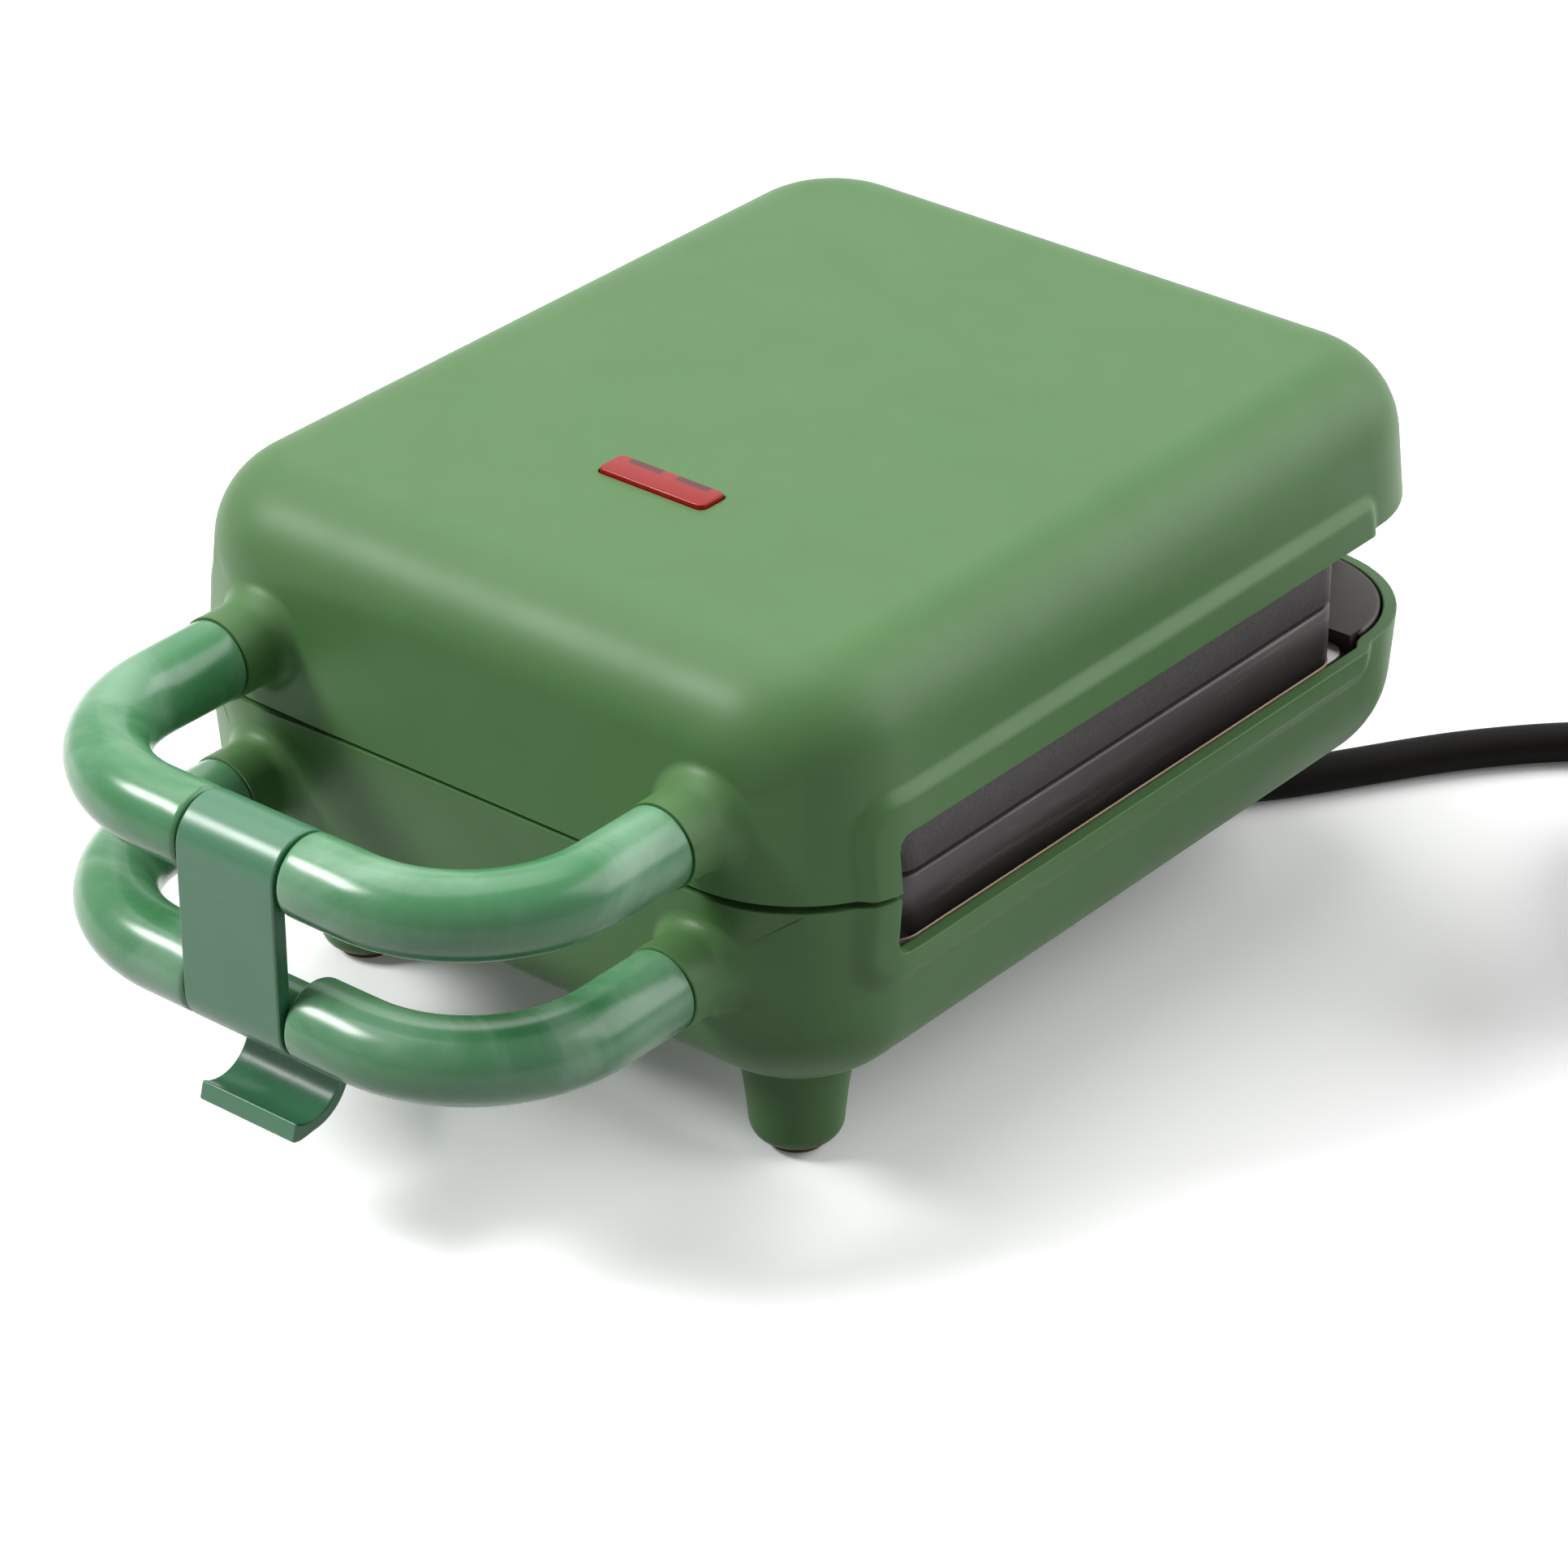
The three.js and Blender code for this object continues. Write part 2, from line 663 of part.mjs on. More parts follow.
// Tubular heating elements, bent to a U, with both ends turned away from the plate
const elementRadius = 3.2;
const elementHalfSpan = 32;
const elementRearSetback = 40;
const elementFrontSetback = 44;
const elementBend = 16;
const elementDrop = 9;
const elementEndOverlap = 2.6;
const terminalRadius = 1.2;
const terminalLength = 3.5;
const elementRearY = rearY - elementRearSetback;
const elementFrontY = frontY + elementFrontSetback;
const elementLevel = plateBack + fitGap + elementRadius;
const terminalEnd = elementLevel + elementDrop + terminalLength;

// Reflector trays: a pressed pan of bright sheet with a flat flange
const sheet = 0.8;
const traySideSetback = 3.5;
const trayFrontSetback = 19.5;
const trayRearSetback = 24.4;
const trayCorner = 4;
const trayFlangeDrop = 0.75;
const panInset = 8;
const panTaper = 3;
const panDepth = 8.3;
const elementHoleRadius = elementRadius + 2 * fitGap;
const bladeSlotHalfX = 6.4;
const bladeSlotHalfY = 4.6;
const thermostatOffset = 6.45;
const trayHalfWidth = bodyWidth / 2 - traySideSetback;
const trayFrontY = frontY + trayFrontSetback;
const trayRearY = rearY - trayRearSetback;
const trayMiddleY = (trayFrontY + trayRearY) / 2;
const trayHalfDepth = (trayRearY - trayFrontY) / 2;
const thermostatY = trayMiddleY + thermostatOffset;
const trayFace = plateBack + trayFlangeDrop;
const trayBack = trayFace + panDepth;

function trayBowl(half, wall, from, to) {
  return loft([[0, from], [panTaper, to]].map(([taper, away]) => {
    const inset = panInset + taper + wall;
    const corner = trayCorner + panInset - wall;
    const z = fromSplit(half, away);
    return roundedRing(trayHalfWidth - inset, trayHalfDepth - inset, corner, z, trayMiddleY);
  }));
}

function tray(half) {
  const face = fromSplit(half, trayFace);
  const flangeBack = fromSplit(half, trayFace + sheet);
  const flange = roundedBlock(trayHalfWidth, trayHalfDepth, trayCorner, face, flangeBack, trayMiddleY);
  const through = [face, fromSplit(half, trayBack + cutOverrun)];
  const slotDepth = [thermostatY - bladeSlotHalfY, thermostatY + bladeSlotHalfY];
  return cutFrom(flange.add(trayBowl(half, 0, trayFace, trayBack)), [
    trayBowl(half, sheet, trayFace - cutOverrun, trayBack - sheet),
    ...bothSides.map((sign) => (
      bar("z", elementHoleRadius, sign * elementHalfSpan, elementRearY, 0, ...through)
    )),
    box(-bladeSlotHalfX, bladeSlotHalfX, ...slotDepth, ...through),
  ]);
}

// One leg and quarter bend of a U-shaped tube, from a point on the leg to the middle run
function legAndBend(legX, endY, runY, bend, radius) {
  const stations = [[legX, endY, radius, 0, -1]];
  for (let k = 0; k <= bendSteps; k += 1) {
    const angle = (k / bendSteps) * quarterTurn;
    const x = legX - bend + bend * Math.cos(angle);
    const y = runY + bend - bend * Math.sin(angle);
    stations.push([x, y, radius, -Math.sin(angle), -Math.cos(angle)]);
  }
  return stations;
}

function element(half) {
  const stations = legAndBend(elementHalfSpan, elementRearY, elementFrontY, elementBend, elementRadius);
  const bent = levelTube(mirroredStations(stations), fromSplit(half, elementLevel), boltSides);
  const start = fromSplit(half, elementLevel - elementEndOverlap);
  const end = fromSplit(half, elementLevel + elementDrop);
  const overlap = fromSplit(half, elementLevel + elementDrop - terminalRadius);
  const ends = bothSides.flatMap((sign) => {
    const x = sign * elementHalfSpan;
    return [
      bar("z", elementRadius, x, elementRearY, 0, start, end),
      bar("z", terminalRadius, x, elementRearY, 0, overlap, fromSplit(half, terminalEnd), pinSides),
    ];
  });
  return joined([bent, ...ends]);
}

// Thermostats
const thermostatRadius = 8;
const thermostatNeckRadius = 6;
const thermostatCap = 5.6;
const bladeHalfWidth = 3.15;
const bladeHalfThickness = 0.4;
const bladeX = 4;
const bladeLength = 6;
const thermostatFace = plateBack + fitGap;
const thermostatSeat = trayBack - sheet - fitGap;

function thermostat(half) {
  const rise = half.side * (thermostatSeat - thermostatFace);
  const cap = half.side * thermostatCap;
  const profile = [[0, 0], [thermostatRadius, 0], [thermostatRadius, cap], [thermostatNeckRadius, cap]];
  profile.push([thermostatNeckRadius, rise], [0, rise]);
  const body = turned("z", profile, 0, thermostatY, fromSplit(half, thermostatFace), tubeSides);
  const bladeRoot = fromSplit(half, thermostatSeat - fitGap);
  const bladeTip = fromSplit(half, thermostatSeat + bladeLength);
  const blades = bothSides.map((sign) => {
    const x = sign * bladeX;
    const ends = [x - bladeHalfThickness, x + bladeHalfThickness];
    return box(...ends, thermostatY - bladeHalfWidth, thermostatY + bladeHalfWidth, bladeRoot, bladeTip);
  });
  return joined([body, ...blades]);
}

// Inner frames: a front and a rear deck joined by rails under the tray flange
const deckGap = 0.8;
const deckFrontInset = 19;
const deckRearInset = 23.9;
const skirtThickness = 2;
const railSetback = 10.5;
const railDrop = 0.3;
const railHeight = 3.2;
const lugDrop = 3;
const lugNose = 2;
const lugReach = 2.9;
const headRadius = 3;
const headCrownRadius = 2.4;
const headHeight = 1.2;
const headSink = 0.2;
const headSeatRadius = headRadius + fitGap;
const headSeatDepth = headSink + headHeight + fitGap;
const notchHalfWidth = 5;
const notchDepth = 8.5;
const deckInset = deckDrop * Math.tan(lid.draft) + shellWall + deckGap;
const deckHalfWidth = bodyWidth / 2 - deckInset;
const deckHalfDepth = bodyDepth / 2 - deckInset;
const deckFrontInnerY = frontY + deckFrontInset;
const deckRearInnerY = rearY - deckRearInset;
const railInnerX = bodyWidth / 2 - railSetback;
const railOuterX = deckHalfWidth - deckGap / 2;
const skirtHalfWidth = railOuterX - skirtThickness / 2;
const railFace = trayFace + sheet + railDrop;

// Plate release latches, their sizes
const latchHalfWidth = 11;
const latchSetback = 7;
const latchDepth = 10.4;
const latchThickness = 2.7;
const latchRiser = 3;
const latchRiserHalfWidth = 8;
const latchTongue = 3.4;
const latchTravel = 3;
const latchFootHalfWidth = 5;
const latchFootSetback = 8.5;
const latchFootDepth = 3;
const latchKeeperHalfWidth = 9;
const latchKeeperThickness = 1.7;
const latchRidgeHeight = 1.2;
const latchRidgeWidth = 0.9;
const latchRidgePitch = 2;
const latchRidges = 3;
const latchFrontY = frontY + latchSetback;
const latchRearY = latchFrontY + latchDepth;
const latchFootFrontY = frontY + latchFootSetback;
const latchFootRearY = latchFootFrontY + latchFootDepth;

function innerFrame(half) {
  const through = [fromDeck(half, -cutOverrun), fromDeck(half, deckThickness + cutOverrun)];
  const corner = planCorner - deckInset;
  const faces = [fromDeck(half, 0), fromDeck(half, deckThickness)];
  const deck = roundedBlock(deckHalfWidth, deckHalfDepth, corner, ...faces);
  const middle = box(-bodyWidth, bodyWidth, deckFrontInnerY, deckRearInnerY, ...through);
  const railEnd = fromSplit(half, railFace + railHeight);
  const skirtFrontY = deckFrontInnerY - skirtThickness;
  const skirtRearY = deckRearInnerY + skirtThickness;
  const skirtLevels = [fromDeck(half, 0), railEnd];
  const skirts = [
    box(-skirtHalfWidth, skirtHalfWidth, skirtFrontY, deckFrontInnerY, ...skirtLevels),
    box(-skirtHalfWidth, skirtHalfWidth, deckRearInnerY, skirtRearY, ...skirtLevels),
  ];
  const rails = bothSides.map((sign) => {
    const ends = [skirtFrontY + skirtThickness / 2, skirtRearY];
    return box(sign * railInnerX, sign * railOuterX, ...ends, fromSplit(half, railFace), railEnd);
  });
  const lugTop = fromSplit(half, lugDrop);
  const lugs = bothSides.flatMap((sign) => {
    const ends = [sign * rearTabX - tabHalfWidth, sign * rearTabX + tabHalfWidth];
    return [
      box(...ends, deckRearInnerY, skirtRearY, lugTop, fromDeck(half, cutOverrun)),
      box(...ends, deckRearInnerY - lugReach, skirtRearY, lugTop, fromSplit(half, lugDrop + lugNose)),
    ];
  });
  const notches = bothSides.map((sign) => {
    const ends = [sign * (handleX - notchHalfWidth), sign * (handleX + notchHalfWidth)];
    return box(...ends, frontY, frontY + notchDepth, ...through);
  });
  const slotHalf = latchFootHalfWidth + fitGap;
  const slotFrontY = latchFootFrontY - latchTravel - fitGap;
  const latchSlot = box(-slotHalf, slotHalf, slotFrontY, latchFootRearY + fitGap, ...through);
  const screwHoles = frameScrewPlaces.flatMap(([, x, y]) => [
    bar("z", headSeatRadius, x, y, 0, fromDeck(half, -cutOverrun), fromDeck(half, headSeatDepth)),
    bar("z", screwHoleRadius, x, y, 0, ...through),
  ]);
  const solid = joined([deck.subtract(middle), ...skirts, ...rails, ...lugs]);
  return cutFrom(solid, [...notches, latchSlot, ...screwHoles]);
}

function plateLatch(half) {
  const slideLevels = [fromDeck(half, -fitGap), fromDeck(half, -fitGap - latchThickness)];
  const tongueLevels = [fromSplit(half, lugDrop), fromSplit(half, lugDrop + lugNose)];
  const keeperFace = deckThickness + fitGap;
  const keeperLevels = [fromDeck(half, keeperFace), fromDeck(half, keeperFace + latchKeeperThickness)];
  const footLevels = [fromDeck(half, -latchThickness), keeperLevels[1]];
  const riserFrontY = latchRearY - latchRiser;
  const riser = [-latchRiserHalfWidth, latchRiserHalfWidth, riserFrontY];
  const ridgeLevels = [fromDeck(half, -latchThickness), fromDeck(half, -latchThickness - latchRidgeHeight)];
  const ridges = Array.from({ length: latchRidges }, (_, k) => {
    const y = latchFrontY + latchRidgeWidth + k * latchRidgePitch;
    return box(-latchRiserHalfWidth, latchRiserHalfWidth, y, y + latchRidgeWidth, ...ridgeLevels);
  });
  return joined([
    box(-latchHalfWidth, latchHalfWidth, latchFrontY, latchRearY, ...slideLevels),
    box(...riser, latchRearY, slideLevels[0], tongueLevels[0]),
    box(...riser, latchRearY + latchTongue, ...tongueLevels),
    box(-latchFootHalfWidth, latchFootHalfWidth, latchFootFrontY, latchFootRearY, ...footLevels),
    box(-latchKeeperHalfWidth, latchKeeperHalfWidth, latchFootFrontY, latchFootRearY, ...keeperLevels),
    ...ridges,
  ]);
}

// A round-headed screw standing along Z, its head towards the parting plane
function frameScrew(half, x, y) {
  const tip = frameScrewLength;
  const profile = [
    [0, headSink],
    [headCrownRadius, headSink],
    [headRadius, headSink + headHeight / 2],
    [headRadius, headSink + headHeight],
    [screwShankRadius, headSink + headHeight],
    [screwShankRadius, tip - screwShankRadius],
    [0, tip],
  ];
  const turnedAway = profile.map(([radius, along]) => [radius, half.side * along]);
  return turned("z", turnedAway, x, y, fromDeck(half, 0));
}

// Screws that hold the handle ends, their heads inside the shell
const handleScrewReach = 10;
const handleHeadRadius = 3.3;
const handleHeadCrownRadius = 2.6;
const handleHeadHeight = 2;

function handleScrew(half, x) {
  const away = half.side * (half.handleHeight - partingHeight);
  const seatY = frontY + wallInset(half, away) + shellWall + 2 * fitGap;
  const tipY = seatY - handleScrewReach;
  const profile = [
    [0, seatY + handleHeadHeight],
    [handleHeadCrownRadius, seatY + handleHeadHeight],
    [handleHeadRadius, seatY + handleHeadHeight / 2],
    [handleHeadRadius, seatY],
    [screwShankRadius, seatY],
    [screwShankRadius, tipY + screwShankRadius],
    [0, tipY],
  ];
  return turned("y", profile, x, 0, half.handleHeight);
}

// Handles: one bent tube each, with a spigot at both ends and a thinner neck in the middle
const spigotRadius = 4;
const spigotLength = 7.3;
const clipSideGap = 0.4;

function handleTube(half) {
  const mouthY = collarMouthY - fitGap;
  const spigotY = mouthY + spigotLength;
  const neckX = clipWidth / 2 + clipSideGap;
  const stations = [
    [handleX, spigotY, spigotRadius, 0, -1],
    [handleX, mouthY, spigotRadius, 0, -1],
    ...legAndBend(handleX, mouthY, handleY, handleBend, tubeRadius),
    [neckX, handleY, tubeRadius, -1, 0],
    [neckX, handleY, neckRadius, -1, 0],
  ];
  const pilots = bothSides.map((sign) => bar(
    "y", screwHoleRadius, sign * handleX, 0, half.handleHeight, mouthY, spigotY + cutOverrun,
  ));
  return cutFrom(levelTube(mirroredStations(stations), half.handleHeight), pilots);
}

// Latch clip: it wraps the upper neck, passes in front of both tubes, cups the lower neck and ends in a tab
const clipThickness = 2.6;
const clipNeckGap = 0.25;
const clipOpenDegrees = 60;
const tabSetForward = 0.4;
const tabDropBelow = 11;
const tabInnerRadius = 6.1;
const tabThicknessOuter = 1.9;
const tabEndDegrees = -133;

function latchClip() {
  const high = lid.handleHeight;
  const low = base.handleHeight;
  const inner = neckRadius + clipNeckGap;
  const sweep = high - low + inner;
  const outerSweep = high - low + tubeRadius;
  const tabY = handleY - tabSetForward;
  const tabZ = low - tabDropBelow;
  const tabOuter = tabInnerRadius + tabThicknessOuter;
  const cup = (radius, y) => [y, high - Math.sqrt(radius ** 2 - (y - handleY) ** 2)];
  const backTurn = THREE.MathUtils.radToDeg(Math.acos((clipThickness - tubeRadius) / inner));
  const outline = [
    ...arc(handleY, high, tubeRadius, -clipOpenDegrees, 180),
    ...arc(handleY, low, tubeRadius, 180, 270),
    cup(outerSweep, (tabY + tabInnerRadius + handleY) / 2),
    cup(outerSweep, tabY + tabInnerRadius),
    ...arc(tabY, tabZ, tabInnerRadius, 0, tabEndDegrees),
    ...arc(tabY, tabZ, tabOuter, tabEndDegrees, 0),
    cup(sweep, tabY + tabOuter),
    cup(sweep, (tabY + tabOuter + handleY) / 2),
    ...arc(handleY, low, inner, 270, backTurn),
    ...arc(handleY, high, inner, 360 - backTurn, -clipOpenDegrees),
  ];
  return slab(outline, -clipWidth / 2, clipWidth / 2);
}

// Hinge pins
const pinHeadRadius = 2.6;
const pinHeadLength = 1;

function hingePin(sign) {
  const middle = sign * hingeArmOffset;
  const head = middle + sign * (hingeHalfLength + fitGap);
  const end = head + sign * pinHeadLength;
  return joined([
    bar("x", hingePinRadius, 0, hingeY, hingeHeight, middle - sign * hingeHalfLength, end),
    bar("x", pinHeadRadius, 0, hingeY, hingeHeight, head, end),
  ]);
}

// Rubber pads under the feet
const padRadius = 4.2;
const padStemRadius = padPocketRadius - fitGap;
const padStemHeight = padPocketHeight - fitGap;
const padThickness = footEndHeight - fitGap;

function footPad(x, y) {
  const profile = [
    [0, 0],
    [padRadius - padThickness / 2, 0],
    [padRadius, padThickness / 2],
    [padRadius, padThickness],
    [padStemRadius, padThickness],
    [padStemRadius, padStemHeight],
    [0, padStemHeight],
  ];
  return turned("z", profile, x, y, 0);
}

// Lamp holder and lamps under the indicator lens
const holderHalfLength = 13;
const holderHalfDepth = 6.5;
const holderHeight = 11;
const lampRadius = 2.6;
const lampShoulderRadius = 2;
const lampShoulder = 1;
const lampLength = 8;
const lampX = 6;
const holderTop = ceilingHeight - 2 * fitGap - lensFlangeThickness;
const holderFloor = holderTop - holderHeight;

function lens() {
  const top = lidTopHeight + lensProud;
  const low = ceilingHeight - fitGap;
  const crown = lensBlock(0, low, top - lensEdge);
  const edge = loft([[0, top - lensEdge], [lensEdge, top]].map(([inset, z]) => (
    roundedRing(lensLength / 2 - inset, lensDepth / 2 - inset, lensCorner, z, lensY, lensCornerSteps)
  )));
  return joined([crown, edge, lensBlock(lensFlange, low - lensFlangeThickness, low)]);
}

function lampHolder() {
  const depth = [lensY - holderHalfDepth, lensY + holderHalfDepth];
  const block = box(-holderHalfLength, holderHalfLength, ...depth, holderFloor, holderTop);
  const wellFloor = holderTop - lampLength - fitGap;
  return cutFrom(block, bothSides.map((sign) => (
    bar("z", lampRadius + fitGap, sign * lampX, lensY, 0, wellFloor, holderTop + cutOverrun)
  )));
}

function lamp(x) {
  const low = holderTop - lampLength;
  const top = holderTop - fitGap;
  const profile = [
    [0, low],
    [lampRadius, low],
    [lampRadius, top - 2 * lampShoulder],
    [lampShoulderRadius, top - lampShoulder / 2],
    [0, top],
  ];
  return turned("z", profile, x, lensY, 0);
}

// Thermal fuse against the lower tray
const fuseRadius = 2.1;
const fuseHalfLength = 5.5;
const fuseX = 22;
const fuseOffset = 34;
const fuseLeadRadius = 0.6;
const fuseLeadLength = 5;
const fuseY = thermostatY - fuseOffset;
const fuseReach = fuseHalfLength + fuseLeadLength;
const fuseHeight = fromSplit(base, trayBack + fitGap + fuseRadius);

function thermalFuse() {
  const profile = [
    [0, -fuseReach],
    [fuseLeadRadius, -fuseReach],
    [fuseLeadRadius, -fuseHalfLength],
    [fuseRadius, -fuseHalfLength + fuseRadius / 2],
    [fuseRadius, fuseHalfLength - fuseRadius / 2],
    [fuseLeadRadius, fuseHalfLength],
    [fuseLeadRadius, fuseReach],
    [0, fuseReach],
  ];
  return turned("x", profile, fuseX, fuseY, fuseHeight);
}

// Terminal block on the base floor
const blockHalfX = 11;
const blockHalfY = 6;
const blockHeight = 10.5;
const blockX = -5;
const blockOffset = 24;
const blockPitch = 7;
const blockHoleRadius = 1.8;
const blockWays = [-1, 0, 1];
const blockY = thermostatY - blockOffset;
const blockLow = floorHeight + fitGap;
const blockMiddle = blockLow + blockHeight / 2;

function terminalBlock() {
  const top = blockLow + blockHeight;
  const depth = [blockY - blockHalfY, blockY + blockHalfY];
  const block = box(blockX - blockHalfX, blockX + blockHalfX, ...depth, blockLow, top);
  return cutFrom(block, blockWays.map((way) => (
    bar("z", blockHoleRadius, blockX + way * blockPitch, blockY, 0, blockMiddle, top + cutOverrun)
  )));
}

// Strain relief in the outlet hood
const reliefFlangeRadius = 5.1;
const reliefFlange = 1.4;
const reliefNeckRadius = outletBoreRadius - fitGap;
const reliefRootRadius = 5;
const reliefEndRadius = 4;
const reliefLength = 22;
const reliefFlangeRearY = hoodRearY - hoodWall - fitGap;
const reliefFlangeFrontY = reliefFlangeRearY - reliefFlange;

function strainRelief() {
  const shoulderY = hoodRearY + fitGap;
  const profile = [
    [0, reliefFlangeFrontY],
    [reliefFlangeRadius, reliefFlangeFrontY],
    [reliefFlangeRadius, reliefFlangeRearY],
    [reliefNeckRadius, reliefFlangeRearY],
    [reliefNeckRadius, shoulderY],
    [reliefRootRadius, shoulderY],
    [reliefEndRadius, shoulderY + reliefLength],
    [0, shoulderY + reliefLength],
  ];
  return turned("y", profile, outletX, 0, outletHeight);
}

// The lead from the strain relief to the coil: points chosen by hand, before the frame shift
const cordRoute = [
  [27.7, 34.6, 10], [27.7, 41, 9.6], [28.6, 47.5, 8.2], [31, 53.6, 6.3], [34.2, 59.1, 4.7],
  [37.5, 64, 3.7], [40.8, 68.9, 3.3], [44.1, 73.8, 3.25], [47.4, 78.9, 3.25], [50.9, 84.4, 3.25],
  [54.6, 90.1, 3.25], [58.6, 95.7, 3.25], [62.9, 101, 3.25], [67.5, 106.1, 3.25], [72.7, 111, 3.3],
  [79.4, 116.4, 3.4], [86.8, 121.3, 3.6], [94.8, 125.8, 3.8], [103.2, 129.7, 4], [109.4, 132.1, 4.1],
  [115.4, 134.3, 4.15], [121.8, 135.7, 4.15],
];
const cordSides = 10;
const cordSteps = 14;

// The put-away coil: it winds in on the floor, climbs and winds out again on top
const coilX = 135.7;
const coilY = 96.5;
const coilOuterRadius = 41;
const coilPitch = 7.2;
const coilLayerRise = 7;
const coilLift = 0.9;
const coilTurnsEachLayer = 2;
const coilTurns = 2 * coilTurnsEachLayer;
const coilClimbTurn = 0.25;
const coilStartDegrees = 100;
const loopSteps = 24;
const coilSides = 6;

function coilRadiusAt(turn) {
  return coilOuterRadius - coilPitch * Math.min(turn, coilTurns - turn);
}

function coilPoint(turn) {
  const angle = THREE.MathUtils.degToRad(coilStartDegrees) - turn * fullTurn;
  const climbs = [coilTurnsEachLayer - coilClimbTurn, coilTurnsEachLayer + coilClimbTurn];
  const z = cordRadius + coilLift + coilLayerRise * THREE.MathUtils.smoothstep(turn, ...climbs);
  const radius = coilRadiusAt(turn);
  return new THREE.Vector3(coilX + radius * Math.cos(angle), coilY + radius * Math.sin(angle), z);
}

function coilPath() {
  const loops = Array.from({ length: coilTurns * loopSteps + 1 }, (_, k) => coilPoint(k / loopSteps));
  const angle = THREE.MathUtils.degToRad(coilStartDegrees);
  const along = new THREE.Vector3(Math.sin(angle), -Math.cos(angle), 0).multiplyScalar(2 * cordRadius);
  return [loops[0].clone().sub(along), ...loops, loops[loops.length - 1].clone().add(along)];
}

function coilRings(path) {
  return path.map((point, k) => {
    const before = path[Math.max(k - 1, 0)];
    const after = path[Math.min(k + 1, path.length - 1)];
    const heading = after.clone().sub(before).normalize();
    const side = new THREE.Vector3(heading.y, -heading.x, 0).normalize();
    const up = side.clone().cross(heading).normalize();
    return Array.from({ length: coilSides }, (_, i) => {
      const angle = ((i + 1 / 2) / coilSides) * fullTurn;
      return point.clone()
        .addScaledVector(side, cordRadius * Math.cos(angle))
        .addScaledVector(up, cordRadius * Math.sin(angle));
    });
  });
}

// The least gap between two stretches of the winding, measured on its points
function leastGap(path) {
  let least = Infinity;
  for (let i = 0; i < path.length; i += 1) {
    for (let j = i + loopSteps / 2; j < path.length; j += 1) {
      least = Math.min(least, path[i].distanceTo(path[j]) - 2 * cordRadius);
    }
  }
  return least;
}

// The lead from the coil to the plug: points chosen by hand, before the frame shift
const plugRoute = [
  [135.3, 138.1, 11.15], [141.3, 139.1, 11.3], [147.3, 139.3, 11.9], [153.3, 138.1, 12.7],
  [158.8, 135.7, 13.8], [163.7, 132.1, 15.2], [167.7, 127.6, 16.6], [170.6, 122.2, 18.1],
  [172.2, 116.4, 19.5], [172.5, 110.3, 20.8], [171.5, 104.4, 21.8], [169.2, 98.8, 22.6],
  [165.7, 93.8, 23.1], [161.2, 89.7, 23.2], [156.4, 85.9, 23.2],
];
const plugLeadSteps = 7;

// Tie round the bundle of turns
const tieDegrees = 185;
const tieWidth = 8;
const tieThickness = 0.6;
const tieGap = 0.35;

function cordTie() {
  const turnAtTie = (((coilStartDegrees - tieDegrees) / 360) + 1) % 1;
  const innermost = coilRadiusAt(coilTurnsEachLayer - 1 + turnAtTie);
  const outermost = Math.max(coilRadiusAt(turnAtTie), coilRadiusAt(coilTurns - 1 + turnAtTie));
  const low = innermost - cordRadius - tieGap;
  const high = outermost + cordRadius + tieGap;
  const top = 2 * cordRadius + coilLift + coilLayerRise + tieGap;
  const ends = [low - tieThickness, high + tieThickness];
  const outer = box(...ends, -tieWidth / 2, tieWidth / 2, 0, top + tieThickness);
  return outer.subtract(box(low, high, -tieWidth, tieWidth, tieThickness, top));
}

// Plug with three flat pins, lying on the coil with its back down
const plugHeadingDegrees = 231.5;
const plugBack = 14.7;
const plugAxisAbove = 8.5;
const plugReliefLength = 10;
const plugReliefStartRadius = 3.65;
const plugReliefRadius = 4.4;
const plugLength = 44;
const plugHalfWidth = 24;
const plugThickness = 20;
const plugShoulder = 14;
const plugBackInset = 4;
const plugEdge = 1;
const plugCorner = 8;
const pinEdge = 10;
const pinSpan = 22.2;
const pinHalfWidth = 3.15;
const pinHalfThickness = 2;
const pinLength = 17.7;
const earthHalfWidth = 4;
const earthLength = 22.7;
const pinSink = 3;
const linePinY = plugReliefLength + pinEdge;
const plugPins = [
  ["line", pinSpan / 2, linePinY, pinHalfWidth, pinHalfThickness, pinLength],
  ["neutral", -pinSpan / 2, linePinY, pinHalfWidth, pinHalfThickness, pinLength],
  ["earth", 0, linePinY + pinSpan, pinHalfThickness, earthHalfWidth, earthLength],
];

// The plug is drawn with the lead coming in along +Y at the origin
function plugBody() {
  const middle = plugReliefLength + plugLength / 2;
  const levels = [
    [plugBackInset, 0], [0, plugShoulder], [0, plugThickness - plugEdge], [plugEdge, plugThickness],
  ];
  const shell = loft(levels.map(([inset, z]) => (
    roundedRing(plugHalfWidth - inset, plugLength / 2 - inset, plugCorner, z, middle)
  )));
  const profile = [[0, 0], [plugReliefStartRadius, 0], [plugReliefRadius, plugReliefLength]];
  profile.push([plugReliefRadius, middle], [0, middle]);
  const relief = turned("y", profile, 0, 0, plugAxisAbove);
  const sockets = plugPins.map(([, x, y, halfX, halfY]) => box(
    x - halfX - fitGap, x + halfX + fitGap, y - halfY - fitGap, y + halfY + fitGap,
    plugThickness - pinSink - fitGap, plugThickness + cutOverrun,
  ));
  return cutFrom(joined([shell, relief]), sockets);
}

